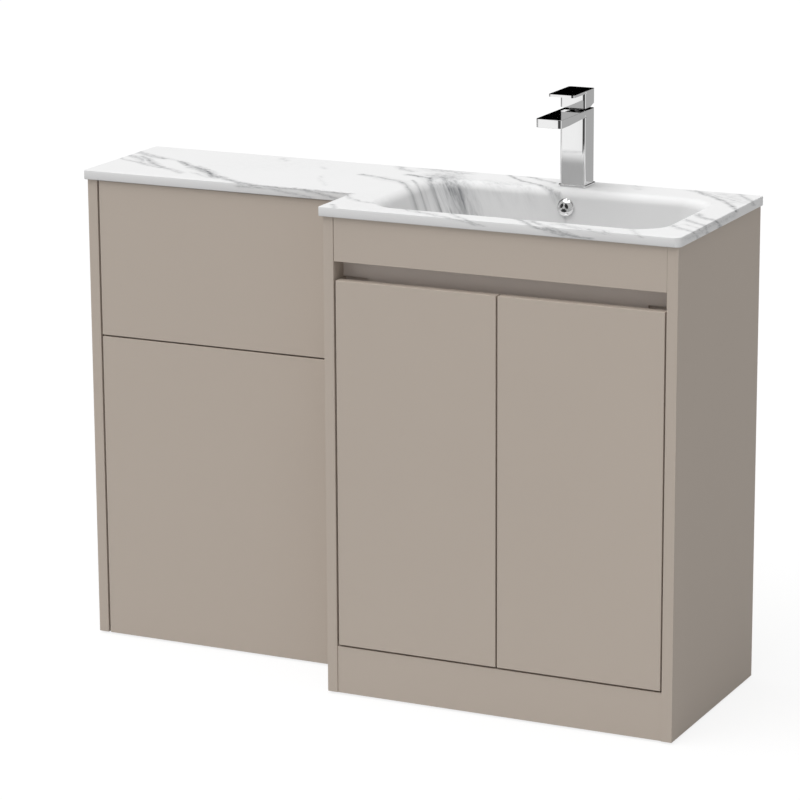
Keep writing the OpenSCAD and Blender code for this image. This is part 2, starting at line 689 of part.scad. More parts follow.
// The turning drum of the cartridge, slotted for the stem that tips in it
module tap_carrier() color("dimgray") at_tap() difference() {
    translate([0, 0, tap_top - drum_l]) cylinder(r = drum_r, h = drum_l + drum_up);
    translate([-stem_w / 2 - move_clear, -slot_front, tap_top - drum_l + drum_floor])
        cube([stem_w + 2 * move_clear, slot_front + slot_rear, drum_l + drum_up]);
    translate([-drum_r - 1, 0, tap_top - pivot_drop]) rotate([0, 90, 0])
        cylinder(r = pivot_r, h = 2 * drum_r + 2);
}
module tap_pivot_pin() color("silver") at_tap() translate([-pivot_l / 2, 0, tap_top - pivot_drop])
    rotate([0, 90, 0]) cylinder(r = pivot_r, h = pivot_l);
cavity_r = 12.5;
cavity_l = 10;
stem_grip = 9;
stem_tail = 5;
module tap_stem() color("gainsboro") at_tap() difference() {
    translate([-stem_w / 2, -stem_w / 2, tap_top - pivot_drop - stem_tail])
        cube([stem_w, stem_w, stem_tail + pivot_drop + handle_gap + cavity_l + stem_grip]);
    translate([-stem_w, 0, tap_top - pivot_drop]) rotate([0, 90, 0])
        cylinder(r = pivot_r + run_clear, h = 2 * stem_w);
}

// The handle's underside slopes up behind, at least as far as it needs to clear the body when it lifts
lift_h = pivot_drop + handle_gap;
cut_from = (lift_h * cos(lift_angle) - pivot_drop - move_clear) / sin(lift_angle);
cut_h = (pivot_drop + move_clear + tap_d / 2 * sin(lift_angle)) / cos(lift_angle) - lift_h;
heel_y = min(tap_d / 2 - heel_l, cut_from);
heel_rise = max(heel_h, cut_h);
module tap_handle() color("silver") at_tap() translate([0, 0, tap_top + handle_gap]) difference() {
    intersection() {
        side_profile(tap_w) polygon([[-tap_d / 2, 0], [heel_y, 0], [tap_d / 2, heel_rise],
            [tap_d / 2, handle_h], [-tap_d / 2 - handle_reach, handle_h],
            [-tap_d / 2 - handle_reach, handle_h - handle_plate_t],
            [-tap_d / 2, handle_h - handle_plate_t]]);
        union() {
            linear_extrude(handle_h) round_plan(tap_w, -tap_d / 2, tap_d / 2, tap_r);
            translate([0, 0, handle_h - handle_plate_t]) linear_extrude(handle_plate_t)
                round_plan(tap_w, -tap_d / 2 - handle_reach, tap_d / 2, tap_r);
        }
    }
    translate([0, 0, -1]) cylinder(r = cavity_r, h = cavity_l + 1);
    translate([-stem_w / 2, -stem_w / 2, 0]) cube([stem_w, stem_w, cavity_l + stem_grip]);
}

// Fixing under the worktop
clamp_w = 50;
clamp_front = 15;
clamp_back = 16;
pad_t = 3;
clamp_t = 2.5;
tap_nut_t = 6.5;
tap_nut_dia = 14;
notch_w = 29;
notch_gap = 1.5;
module horseshoe(t) difference() {
    translate([-clamp_w / 2, -clamp_front, 0]) cube([clamp_w, clamp_front + clamp_back, t]);
    translate([-notch_w / 2, stud_y + tap_stud_dia / 2 + notch_gap, -1])
        cube([notch_w, 2 * clamp_back, t + 2]);
    translate([0, stud_y, -1]) cylinder(d = tap_stud_dia, h = t + 2);
}
module tap_clamp_pad() color("dimgray") at_tap() translate([0, 0, carcass_h - pad_t]) horseshoe(pad_t);
module tap_clamp() color("silver") at_tap() translate([0, 0, carcass_h - pad_t - clamp_t])
    horseshoe(clamp_t);
module tap_stud() color("silver") at_tap() translate([0, stud_y, carcass_h - tap_stud_out])
    cylinder(d = tap_stud_dia, h = tap_stud_out + slab_t + tap_stud_in);
module tap_nut() color("silver") at_tap() translate([0, stud_y, carcass_h - pad_t - clamp_t - tap_nut_t])
    difference() {
        cylinder(d = tap_nut_dia, h = tap_nut_t, $fn = 6);
        translate([0, 0, -1]) cylinder(d = tap_stud_dia, h = tap_nut_t + 2);
    }

// Doors, drawn in their own place: u from the hinge edge, v from the front face
cup_r = cup_dia / 2;
cup_floor = 1;
pocket_h = 18;
hinge_pin_l = 26;
flange_h = 1.2;
flange_r = cup_r + 2;
ear_h = 58;
ear_w = 20;
module left_hinges() for (z = hinge_zs) translate([basin_in_l + gap, y_front, z]) children();
module right_hinges() for (z = hinge_zs) translate([basin_in_r - gap, y_front, z]) mirror([1, 0, 0])
    children();
module along_v(r, h) rotate([-90, 0, 0]) cylinder(r = r, h = h);
module cup_bore() translate([cup_u, front_t - cup_d, 0]) along_v(cup_r, cup_d + 1);
module door_left() color(greige) difference() {
    board([basin_in_l + gap, y_front, door_bottom], [basin_in_l + gap + door_w, inner_y, door_top]);
    left_hinges() cup_bore();
}
module door_right() color(greige) difference() {
    board([basin_in_r - gap - door_w, y_front, door_bottom], [basin_in_r - gap, inner_y, door_top]);
    right_hinges() cup_bore();
}
module door_buffers() color("white") for (s = [-1, 1])
    translate([basin_mid + s * 2 * buffer_dia, inner_y + move_clear, lip_z - recess_rail_t / 2])
        along_v(min(buffer_dia, recess_rail_t - 1) / 2, lip_front - move_clear);

// The cup, with the pocket that the arm swings in
cup_wall = 1;
module hinge_cup() difference() {
    union() {
        translate([cup_u, front_t - cup_d, 0]) along_v(cup_r, cup_d);
        translate([cup_u, front_t, 0]) along_v(flange_r, flange_h);
        translate([cup_u - ear_w / 2, front_t, -ear_h / 2]) cube([ear_w, flange_h, ear_h]);
    }
    intersection() {
        translate([cup_u, front_t - cup_d + cup_floor, 0]) along_v(cup_r - cup_wall, cup_d + flange_h);
        translate([cup_u - cup_dia, 0, -pocket_h / 2]) cube([2 * cup_dia, 2 * front_t, pocket_h]);
    }
    hinge_pin();
}
module hinge_pin() translate([hinge_u, hinge_v, -hinge_pin_l / 2])
    cylinder(r = hinge_pin_r, h = hinge_pin_l);

// The cranked arm goes round the door's edge as the door swings into the unit
arm_lean = 34;
arm_reach = 34.5;
eye_r = 3.2;
arm_u = 5;
arm_back = 84;
shoulder = [16.5, 35];
knee_u = 9;
heel_u = -10;
cross_v = 38.5;
tail_step = 5;
tail_rise = 3;
tail_v = 47;
pin_at = [hinge_u, hinge_v];
arm_points = [pin_at, pin_at + arm_reach * [sin(arm_lean), cos(arm_lean)], pin_at + shoulder,
    pin_at + [knee_u, cross_v], pin_at + [heel_u, cross_v],
    [arm_u + tail_step, hinge_v + cross_v + tail_rise], [arm_u, hinge_v + tail_v], [arm_u, arm_back]];
module hinge_arm() translate([0, 0, -arm_h / 2]) linear_extrude(arm_h) difference() {
    union() {
        translate(pin_at) circle(r = eye_r);
        strip(arm_points, arm_t);
    }
    translate(pin_at) circle(r = hinge_pin_r + run_clear);
}
plate_t = 2;
plate_l = 50;
plate_w = 14;
block_w = 34;
block_back = 4;
screw_head_dia = 8;
screw_head_t = 1.5;
module hinge_plate() difference() {
    union() {
        translate([-gap, plate_v - plate_w / 2, -plate_l / 2]) cube([plate_t, plate_w, plate_l]);
        translate([-gap, arm_back - block_w + block_back, -arm_h / 2])
            cube([gap + arm_u - arm_t / 2, block_w, arm_h]);
    }
    for (s = [-1, 1]) translate([-gap - 1, plate_v, s * screw_pitch / 2]) rotate([0, 90, 0])
        cylinder(d = screw_dia, h = plate_t + 2);
}
module plate_screws() for (s = [-1, 1]) translate([-gap, plate_v, s * screw_pitch / 2]) rotate([0, 90, 0]) {
    translate([0, 0, -screw_l]) cylinder(d = screw_dia, h = screw_l + plate_t + eps);
    translate([0, 0, plate_t]) cylinder(d = screw_head_dia, h = screw_head_t);
}
module hinge_cups_left() color("silver") left_hinges() hinge_cup();
module hinge_cups_right() color("silver") right_hinges() hinge_cup();
module hinge_pins_left() color("gray") left_hinges() hinge_pin();
module hinge_pins_right() color("gray") right_hinges() hinge_pin();
module hinge_arms() color("silver") {
    left_hinges() hinge_arm();
    right_hinges() hinge_arm();
}
module hinge_plates() color("silver") {
    left_hinges() hinge_plate();
    right_hinges() hinge_plate();
}
module hinge_plate_screws() color("gray") {
    left_hinges() plate_screws();
    right_hinges() plate_screws();
}

basin_gable_left();
basin_gable_right();
basin_base();
plinth();
fascia();
recess_rail();
basin_rail_top();
basin_rail_bottom();
shelf();
shelf_pins();
wc_gable_left();
wc_gable_right();
wc_rail_front_top();
wc_rail_middle();
wc_rail_foot();
wc_rail_back_top();
wc_rail_back_bottom();
wc_panel_lower();
wc_panel_upper();
panel_studs();
panel_sockets();
unit_connectors();
glides();
wall_brackets();
worktop_basin();
overflow_duct();
overflow_cover();
waste_body();
waste_seal();
waste_washer();
waste_nut();
waste_plug();
tap_body();
tap_gasket();
tap_cartridge();
tap_carrier();
tap_stem();
tap_pivot_pin();
tap_handle();
tap_aerator();
tap_stud();
tap_clamp();
tap_clamp_pad();
tap_nut();
door_left();
door_right();
door_buffers();
hinge_cups_left();
hinge_cups_right();
hinge_pins_left();
hinge_pins_right();
hinge_arms();
hinge_plates();
hinge_plate_screws();
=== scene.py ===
"""The looks of a bathroom combination unit: toilet unit and basin unit under one marble worktop.

The cabinet boards, the worktop with its bowl, the tap, the waste and the overflow's cover are
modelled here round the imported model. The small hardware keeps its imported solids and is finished
here.
"""
import logging
import math
from dataclasses import dataclass, field
from enum import Enum
from typing import Callable, Mapping, Sequence, Union

import bmesh
import bpy
from mathutils import Matrix, Vector


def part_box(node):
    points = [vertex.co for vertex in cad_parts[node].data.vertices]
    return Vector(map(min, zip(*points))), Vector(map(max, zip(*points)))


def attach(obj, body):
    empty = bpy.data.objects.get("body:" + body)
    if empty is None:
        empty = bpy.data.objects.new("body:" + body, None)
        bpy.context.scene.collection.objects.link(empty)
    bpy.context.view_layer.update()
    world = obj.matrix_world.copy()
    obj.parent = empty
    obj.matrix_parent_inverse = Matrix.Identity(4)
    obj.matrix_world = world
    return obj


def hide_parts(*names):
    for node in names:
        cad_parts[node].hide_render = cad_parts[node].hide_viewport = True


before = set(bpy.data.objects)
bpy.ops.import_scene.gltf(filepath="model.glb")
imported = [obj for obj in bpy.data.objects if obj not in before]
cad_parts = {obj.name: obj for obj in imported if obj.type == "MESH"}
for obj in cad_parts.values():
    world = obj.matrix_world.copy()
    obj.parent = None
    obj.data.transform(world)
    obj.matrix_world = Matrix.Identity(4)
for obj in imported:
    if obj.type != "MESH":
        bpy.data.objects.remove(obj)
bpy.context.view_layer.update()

MM = 0.001
X, Y, Z = Vector((1, 0, 0)), Vector((0, 1, 0)), Vector((0, 0, 1))
NEAR = 0.1 * MM  # places closer than this count as the same
FACING = 0.9  # how far along an axis the normal of a face goes that faces that way
RAYS = ("Is Camera Ray", "Is Glossy Ray", "Is Transmission Ray")
log = logging.getLogger("vanity_unit")

Point = tuple[float, float]
Ramp = tuple[float, float]  # the value where a rise from 0 to 1 starts, and its slope
Colour = tuple[float, float, float, float]
Bore = tuple[Vector, Vector, float, float]  # its centre, axis, radius and depth
Number = Union["Socket", float, int]
Key = Union[str, int]


class Socket:
    """One output of a shader node. The usual operators on it add Math nodes."""

    def __init__(self, sheet: "ShaderSheet", output: bpy.types.NodeSocket | None) -> None:
        """Wraps an output of the sheet's node tree."""
        self.sheet = sheet
        self.output = output

    def math(self, operation: str, *values: Number) -> "Socket":
        """Adds a Math node on these values.

        Args:
            operation: the node's operation.
            values: its inputs in order, sockets or numbers.

        Returns:
            The node's value.
        """
        return self.sheet.node("Math", {"operation": operation}, dict(enumerate(values)))

    def __add__(self, other: Number) -> "Socket":
        """Sum."""
        return self.math("ADD", self, other)

    __radd__ = __add__

    def __sub__(self, other: Number) -> "Socket":
        """Difference."""
        return self.math("SUBTRACT", self, other)

    def __rsub__(self, other: Number) -> "Socket":
        """Difference from a number on the left."""
        return self.math("SUBTRACT", other, self)

    def __mul__(self, other: Number) -> "Socket":
        """Product."""
        return self.math("MULTIPLY", self, other)

    __rmul__ = __mul__

    def clamp(self) -> "Socket":
        """The value kept between 0 and 1."""
        return self.sheet.node("Math", {"operation": "ADD", "use_clamp": True}, {0: self, 1: 0.0})

    def rise(self, start: float, slope: float) -> "Socket":
        """A rise that leaves 0 at a start, with a slope, and stays between 0 and 1."""
        return ((self - start) * slope).clamp()

    def least(self, other: Number) -> "Socket":
        """The smaller of two values."""
        return self.math("MINIMUM", self, other)

    def most(self, other: Number) -> "Socket":
        """The larger of two values."""
        return self.math("MAXIMUM", self, other)


class ShaderSheet:
    """The node tree of a material or of the world, built by one method."""

    def __init__(self, owner: bpy.types.Material | bpy.types.World) -> None:
        """Starts with the owner's node tree empty.

        Args:
            owner: the material or the world that the nodes belong to.
        """
        owner.use_nodes = True
        self.owner = owner
        self.tree = owner.node_tree
        self.tree.nodes.clear()

    @classmethod
    def named(cls, name: str) -> "ShaderSheet":
        """Makes an empty node material of this name."""
        return cls(bpy.data.materials.new(name))

    def node(
        self,
        kind: str,
        settings: Mapping[str, object] | None = None,
        values: Mapping[Key, object] | None = None,
        out: Key = 0,
    ) -> Socket:
        """Adds a node.

        Args:
            kind: the node's type without its ShaderNode prefix.
            settings: its properties, set first. "stops" holds a ramp's (position, colour) pairs.
            values: its inputs by name or index, each a socket or a plain value.
            out: the output that is returned, by name or index.

        Returns:
            The chosen output.
        """
        made = self.tree.nodes.new("ShaderNode" + kind)
        for key, value in (settings or {}).items():
            if key == "stops":
                self._stops(made.color_ramp, value)
            else:
                setattr(made, key, value)
        for key, value in (values or {}).items():
            if isinstance(value, Socket):
                self.tree.links.new(value.output, made.inputs[key])
            else:
                made.inputs[key].default_value = value
        return Socket(self, made.outputs[out] if made.outputs else None)

    def outputs(
        self, kind: str, names: Sequence[str], values: Mapping[Key, object] | None = None
    ) -> list[Socket]:
        """Adds a node and returns several of its outputs by name."""
        made = self.node(kind, values=values).output.node
        return [Socket(self, made.outputs[name]) for name in names]

    def shader(self, kind: str, **values: object) -> Socket:
        """Adds a node, its inputs given by name with underscores for spaces."""
        return self.node(kind, values={key.replace("_", " "): values[key] for key in values})

    @staticmethod
    def _stops(ramp: bpy.types.ColorRamp, stops: Sequence[tuple[float, Sequence[float]]]) -> None:
        """Gives a ramp its stops.

        Args:
            ramp: the colour ramp.
            stops: its (position, colour) pairs in order.
        """
        while len(ramp.elements) < len(stops):
            ramp.elements.new(1.0)
        for element, (position, colour) in zip(ramp.elements, stops):
            element.position = position
            element.color = colour

    def place(self) -> Socket:
        """The point on the object, in its own coordinates."""
        return self.node("TexCoord", out="Object")

    def noise(
        self, at: Socket, scale: float, detail: float = 3.0, roughness: float = 0.5, out: Key = 0
    ) -> Socket:
        """A noise about 0.5 at a point, with scale in ripples a metre. Output 1 is a colour."""
        values = {"Vector": at, "Scale": scale, "Detail": detail, "Roughness": roughness}
        return self.node("TexNoise", values=values, out=out)

    def vector(self, operation: str, *values: object, out: Key = 0) -> Socket:
        """Adds a Vector Math node on these values, sockets or vectors."""
        return self.node("VectorMath", {"operation": operation}, dict(enumerate(values)), out)

    def blend(self, share: Number, first: object, second: object) -> Socket:
        """A colour between two colours: the first at 0 and the second at 1."""
        return self.node("Mix", {"data_type": "RGBA"}, {0: share, 6: first, 7: second}, out=2)

    def mix(self, share: Number, first: Socket, second: Socket) -> Socket:
        """A shader between two shaders: the first at 0 and the second at 1."""
        return self.node("MixShader", values={0: share, 1: first, 2: second})

    def ramp(self, value: Socket, *stops: tuple[float, Sequence[float]]) -> Socket:
        """A colour ramp on a value."""
        return self.node("ValToRGB", {"stops": stops}, {0: value})

    def bump(self, height: Number, depth: float, strength: float = 1.0) -> Socket:
        """A normal from a height of 0 to 1, with its depth in metres."""
        return self.shader("Bump", Height=height, Distance=depth, Strength=strength)

    def surface(self, **values: object) -> bpy.types.Material:
        """Ends the tree with a Principled surface of these values and returns the material."""
        return self.close(self.shader("BsdfPrincipled", **values))

    def close(self, shader: Socket) -> bpy.types.Material:
        """Joins a shader to the material's output and returns the material."""
        self.shader("OutputMaterial", Surface=shader)
        return self.owner


def grey(level: float) -> Colour:
    """A neutral colour."""
    return level, level, level, 1.0


class Finish:
    """A finish: the record's material slot that it belongs to and how its material is made."""

    slot: str

    def build(self) -> bpy.types.Material:
        """Makes the material."""
        raise NotImplementedError


@dataclass(frozen=True)
class FoilBoard(Finish):
    """Matt foil-faced board: an even tone with a faint cloud and a fine leathery grain."""

    slot: str = "greige_board"
    name: str = "greige_board"
    tone: Colour = (0.560, 0.487, 0.419, 1.0)
    shade: Colour = (0.542, 0.470, 0.405, 1.0)
    gloss: float = 0.5
    gloss_range: float = 0.1
    specular: float = 0.35
    cloud_scale: float = 3.5
    grain_scale: float = 1400.0
    grain_depth: float = 0.00004
    grain_strength: float = 0.6

    def build(self) -> bpy.types.Material:
        """Makes the material.

        Returns:
            The new material.
        """
        sheet = ShaderSheet.named(self.name)
        at = sheet.place()
        cloud = sheet.noise(at, self.cloud_scale, detail=4.0)
        grain = sheet.noise(at, self.grain_scale, detail=2.0)
        return sheet.surface(
            Base_Color=sheet.blend(cloud, self.shade, self.tone),
            Roughness=self.gloss + self.gloss_range * grain,
            Specular_IOR_Level=self.specular,
            Normal=sheet.bump(grain, self.grain_depth, self.grain_strength),
        )


@dataclass(frozen=True)
class RawBoard(Finish):
    """The bare core of a board where no edging covers it: pressed chips in a lighter dust."""

    slot: str = "greige_board"
    stretch: tuple[float, float, float] = (1.0, 1.0, 0.45)
    chip_scale: float = 560.0
    chip_depth: float = 0.0004
    chip_strength: float = 0.7
    chip_in_tone: float = 0.7
    chip_in_height: float = 0.6
    gloss: float = 0.75
    gloss_range: float = 0.15
    specular: float = 0.2
    tones: tuple[tuple[float, Colour], ...] = (
        (0.1, (0.31, 0.21, 0.12, 1.0)),
        (0.5, (0.47, 0.345, 0.215, 1.0)),
        (0.9, (0.60, 0.47, 0.32, 1.0)),
    )

    def build(self) -> bpy.types.Material:
        """Makes the material.

        Returns:
            The new material.
        """
        sheet = ShaderSheet.named("board_core")
        at = sheet.vector("MULTIPLY", sheet.place(), self.stretch)
        cells = {"Vector": at, "Scale": self.chip_scale}
        chips = sheet.node("TexVoronoi", {"feature": "F1"}, cells, out="Color")
        level = sheet.node("SeparateColor", values={0: chips})
        dust = sheet.noise(at, self.chip_scale * 2)
        tone = level * self.chip_in_tone + dust * (1.0 - self.chip_in_tone)
        height = level * self.chip_in_height + dust * (1.0 - self.chip_in_height)
        return sheet.surface(
            Base_Color=sheet.ramp(tone, *self.tones),
            Roughness=self.gloss + self.gloss_range * dust,
            Specular_IOR_Level=self.specular,
            Normal=sheet.bump(height, self.chip_depth, self.chip_strength),
        )


@dataclass(frozen=True)
class Vein:
    """One vein of the marble in plan: its points and half width in mm, and its strength."""

    points: tuple[Point, ...]
    width: float
    strength: float


VEINS = (
    Vein(((-556, 124), (-535, 110), (-515, 99), (-498, 90), (-478, 82)), 10, 0.46),
    Vein(((-490, 90), (-455, 78), (-440, 66)), 6, 0.26),
    Vein(((-556, 90), (-535, 78), (-518, 68), (-509, 52), (-502, 38)), 9, 0.44),
    Vein(((-528, 88), (-510, 74), (-494, 56), (-460, 22), (-445, 9)), 8, 0.5),
    Vein(((-502, 38), (-485, 25), (-445, 9), (-425, 2), (-393, -20)), 8, 0.4),
    Vein(((-556, 64), (-541, 51), (-503, 36)), 6, 0.38),
    Vein(((-442, 70), (-425, 55), (-400, 37), (-375, 22)), 8, 0.58),
    Vein(((-395, 34), (-370, 18), (-350, -2), (-330, -24), (-312, -31)), 13, 0.62),
    Vein(((-312, -31), (-285, -43), (-262, -56), (-235, -66)), 9, 0.56),
    Vein(((-159, -64), (-130, -74), (-84, -99)), 9, 0.46),
    Vein(((-262, -64), (-150, -66), (-54, -67)), 7, 0.42),
    Vein(((-262, -78), (-205, -74), (-137, -104)), 9, 0.36),
    Vein(((-380, -8), (-330, -38)), 6, 0.26),
    Vein(((-297, 165), (-284, 148)), 8, 0.22),
    Vein(((-207, 128), (-190, 108)), 6, 0.24),
    Vein(((-168, 50), (-150, 15), (-125, -20)), 5, 0.18),
    Vein(((-112, 88), (-85, 78), (-36, 62), (-11, 43), (4, 20), (36, -14)), 7, 0.48),
    Vein(((-70, 72), (-20, 55)), 13, 0.32),
    Vein(((-90, 186), (-72, 162), (-48, 146)), 9, 0.36),
    Vein(((-25, 180), (32, 165)), 24, 0.36),
    Vein(((0, 140), (35, 112)), 20, 0.32),
    Vein(((100, 116), (175, 112)), 15, 0.24),
    Vein(((-42, 118), (6, 106), (22, 72), (36, 40)), 8, 0.62),
    Vein(((-15, 75), (-2, 62), (9, 48), (24, 20)), 4, 0.44),
    Vein(((20, 124), (38, 104), (48, 84), (56, 44)), 36, 0.52),
    Vein(((16, 118), (26, 106), (34, 84), (44, 50)), 6, 0.5),
    Vein(((34, 122), (44, 104), (44, 78)), 4, 0.5),
    Vein(((53, 102), (58, 88), (64, 40)), 9, 0.6),
    Vein(((106, 188), (128, 164), (152, 143), (215, 108), (230, 100)), 5, 0.54),
    Vein(((228, 101), (231, 97), (233, 93)), 3, 0.5),
    Vein(((134, 184), (160, 176), (180, 160), (207, 148)), 7, 0.44),
    Vein(((-53, -82), (-36, -106), (-17, -118), (12, -123)), 6, 0.38),
    Vein(((72, -144), (86, -153), (130, -167), (200, -197), (214, -206)), 8, 0.34),
    Vein(((158, -147), (176, -166), (215, -200), (228, -208)), 6, 0.36),
    Vein(((-42, -163), (-28, -180)), 5, 0.42),
    Vein(((261, -141), (284, -160), (312, -191), (334, -207), (356, -221), (402, -224)), 7, 0.5),
    Vein(((286, -145), (342, -188), (361, -208), (385, -222)), 7, 0.46),
    Vein(((335, -200), (370, -218)), 14, 0.52),
    Vein(((345, -162), (388, -176), (430, -186)), 12, 0.34),
    Vein(((462, -150), (492, -196)), 6, 0.28),
    Vein(((340, 178), (354, 155)), 9, 0.22),
    Vein(
        ((438, 186), (466, 154), (481, 145), (497, 127), (513, 117), (551, 64), (564, 48)), 6, 0.54
    ),
    Vein(((430, 181), (451, 171), (474, 156)), 8, 0.44),
    Vein(((486, 150), (512, 134), (538, 119)), 4, 0.34),
    Vein(((502, 124), (534, 108)), 4, 0.3),
    Vein(((508, 188), (524, 164), (556, 130), (572, 118)), 7, 0.44),
    Vein(((490, 168), (545, 122)), 22, 0.22),
    Vein(((514, 0), (524, -19), (540, -30), (575, -42), (600, -64)), 8, 0.54),
    Vein(((512, -50), (538, -70), (572, -90), (600, -118)), 7, 0.44),
    Vein(((508, -98), (524, -116), (572, -138), (600, -156)), 7, 0.42),
    Vein(((522, -82), (565, -112)), 5, 0.28),
    Vein(((572, 30), (572, -176)), 14, 0.26),
)


@dataclass(frozen=True)
class Patches:
    """Patches of noise on a surface: the noise, where a patch starts in it and its slope."""

    scale: float
    detail: float
    roughness: float
    start: float
    slope: float

    def on(self, sheet: ShaderSheet, at: Socket) -> Socket:
        """How far inside a patch a point lies, from 0 to 1."""
        return sheet.noise(at, self.scale, self.detail, self.roughness).rise(self.start, self.slope)


@dataclass(frozen=True)
class MarbleResin(Finish):
    """Polished moulded resin with a marble pattern: drawn veins, faint strands and a soft mottle.

    Each zone of the worktop, between two places along its length, holds only the veins that reach
    into it. The zone and its reach are in millimetres, as the veins are, and the rest is in metres.
    """

    slot: str = "marble_resin"
    zone: Point = (-600, 600)
    reach: float = 30
    veins: tuple[Vein, ...] = VEINS
    fade: float = 1.5  # a vein ends at this many half widths
    white: Colour = (0.87, 0.87, 0.87, 1.0)
    dark: Colour = (0.15, 0.155, 0.165, 1.0)
    top: float = 0.808
    # Painted shade: the bowl is greyer below its rim. The slab's right side isn't.
    bowl: Ramp = (0.003, 80.0)
    bowl_painted_shade: float = 0.18
    outer_side: Ramp = (0.15, 4.0)
    # The pattern drifts down the bowl's walls and slants down the front and the right edge.
    front_facing: Ramp = (-0.5, -8.0)
    front_place: Ramp = (-0.05, -900.0)
    right_facing: Ramp = (0.5, 8.0)
    right_place: Ramp = (0.5, 900.0)
    fall: float = 0.34
    fall_front: float = 0.07
    slant: float = 3.0
    wander: float = 0.016
    wander_noise: tuple[float, float, float] = (15.0, 7.0, 0.7)
    # Strands run beside the veins. Mottle breaks both, and clouds let strands show elsewhere.
    turn: float = 0.62
    strokes: tuple[float, float, float] = (24.0, 120.0, 1.0)
    stroke_noise: tuple[float, float, float] = (1.0, 4.0, 0.65)
    strand_thinness: float = 9.0
    strand_share: float = 0.3
    mottle: Patches = Patches(75.0, 4.0, 0.65, 0.34, 3.0)
    cloud: Patches = Patches(3.1, 2.0, 0.5, 0.53, 5.0)
    halo_veins: float = 3.2
    halo_cloud: float = 0.3
    vein_share: float = 1.9
    vein_plain: float = 0.42
    vein_mottled: float = 0.82
    gloss: float = 0.42
    gloss_range: float = 0.08
    specular: float = 0.02

    def build(self) -> bpy.types.Material:
        """Makes the material.

        Returns:
            The new material.
        """
        sheet = ShaderSheet.named("marble_resin")
        place = sheet.place()
        depth = (self.top - sheet.node("SeparateXYZ", values={0: place}, out="Z")).most(0.0)
        at = self._bent(sheet, place, depth)
        drawn = self._drawn(sheet, at)
        turning = {"Vector": at, "Angle": self.turn}
        turned = sheet.node("VectorRotate", {"rotation_type": "Z_AXIS"}, turning)
        fine = sheet.noise(sheet.vector("MULTIPLY", turned, self.strokes), *self.stroke_noise)
        strands = (1.0 - fine.math("ABSOLUTE", fine - 0.5) * self.strand_thinness).clamp()
        mottle = self.mottle.on(sheet, at)
        cloud = self.cloud.on(sheet, at)
        halo = (drawn * self.halo_veins + cloud * self.halo_cloud).clamp()
        solid = drawn * drawn * self.vein_share * (self.vein_plain + self.vein_mottled * mottle)
        share = solid + strands * halo * mottle * self.strand_share
        facing = sheet.outputs("SeparateXYZ", "X", {0: sheet.node("NewGeometry", out="Normal")})[0]
        # painted shade: the white greys with depth inside the bowl, but not on the slab's right
        # side
        inside = 1.0 - facing.rise(*self.outer_side)
        painted_shade = depth.rise(*self.bowl) * self.bowl_painted_shade * inside
        white = sheet.blend(painted_shade, self.white, grey(0.0))
        return sheet.surface(
            Base_Color=sheet.blend(share.clamp(), white, self.dark),
            Roughness=self.gloss + self.gloss_range * fine,
            Specular_IOR_Level=self.specular,
        )

    def _bent(self, sheet: ShaderSheet, place: Socket, depth: Socket) -> Socket:
        """The point that the pattern reads.

        Args:
            sheet: the sheet that it is drawn on.
            place: the point on the worktop.
            depth: how far it lies under the top.

        Returns:
            Its place in plan, drifting down the bowl's walls and folded over the outer edges, with
            a wandering line.
        """
        x, y = sheet.outputs("SeparateXYZ", "XY", {0: place})
        facing = sheet.node("NewGeometry", out="Normal")
        right, back = sheet.outputs("SeparateXYZ", "XY", {0: facing})
        front_edge = back.rise(*self.front_facing) * y.rise(*self.front_place)
        right_edge = right.rise(*self.right_facing) * x.rise(*self.right_place)
        along = x + depth * (right_edge * self.slant - self.fall)
        across = y - depth * ((front_edge + right_edge) * self.slant + self.fall_front)
        flat = sheet.node("CombineXYZ", values={0: along, 1: across, 2: 0.0})
        coarse = sheet.noise(flat, *self.wander_noise, out=1)
        offset = sheet.vector("SUBTRACT", coarse, (0.5, 0.5, 0.5))
        return sheet.vector("MULTIPLY_ADD", offset, (self.wander, self.wander, 0.0), flat)

    def _drawn(self, sheet: ShaderSheet, at: Socket) -> Number:
        """How strongly the veins that reach into the zone mark a point.

        Args:
            sheet: the sheet that they are drawn on.
            at: the point in plan.

        Returns:
            The strongest vein's mark: its strength on its line, falling off to nothing beside it.
        """
        drawn: Number = 0.0
        for vein in self.veins:
            along = [x for x, y in vein.points]
            if max(along) < self.zone[0] - self.reach or min(along) > self.zone[1] + self.reach:
                continue
            nearest: Socket | None = None
            for first, last in zip(vein.points, vein.points[1:]):
                away = self._distance(sheet, at, first, last)
                nearest = away if nearest is None else nearest.least(away)
            mark = vein.strength - nearest * (vein.strength / (self.fade * vein.width * MM))
            drawn = mark.most(drawn)
        return drawn

    @staticmethod
    def _distance(sheet: ShaderSheet, at: Socket, first: Point, last: Point) -> Socket:
        """The distance in plan from a point to the line between two places.

        Args:
            sheet: the sheet that it is drawn on.
            at: the point in plan.
            first: where the line starts, in millimetres.
            last: where it ends, in millimetres.

        Returns:
            The distance, in metres.
        """
        start = Vector((*first, 0)) * MM
        run = Vector((*last, 0)) * MM - start
        unit = run / run.length_squared
        along = sheet.vector("DOT_PRODUCT", at, tuple(unit), out="Value") - start.dot(unit)
        foot = sheet.vector("MULTIPLY_ADD", along.clamp(), tuple(run), tuple(start))
        return sheet.vector("DISTANCE", at, foot, out="Value")


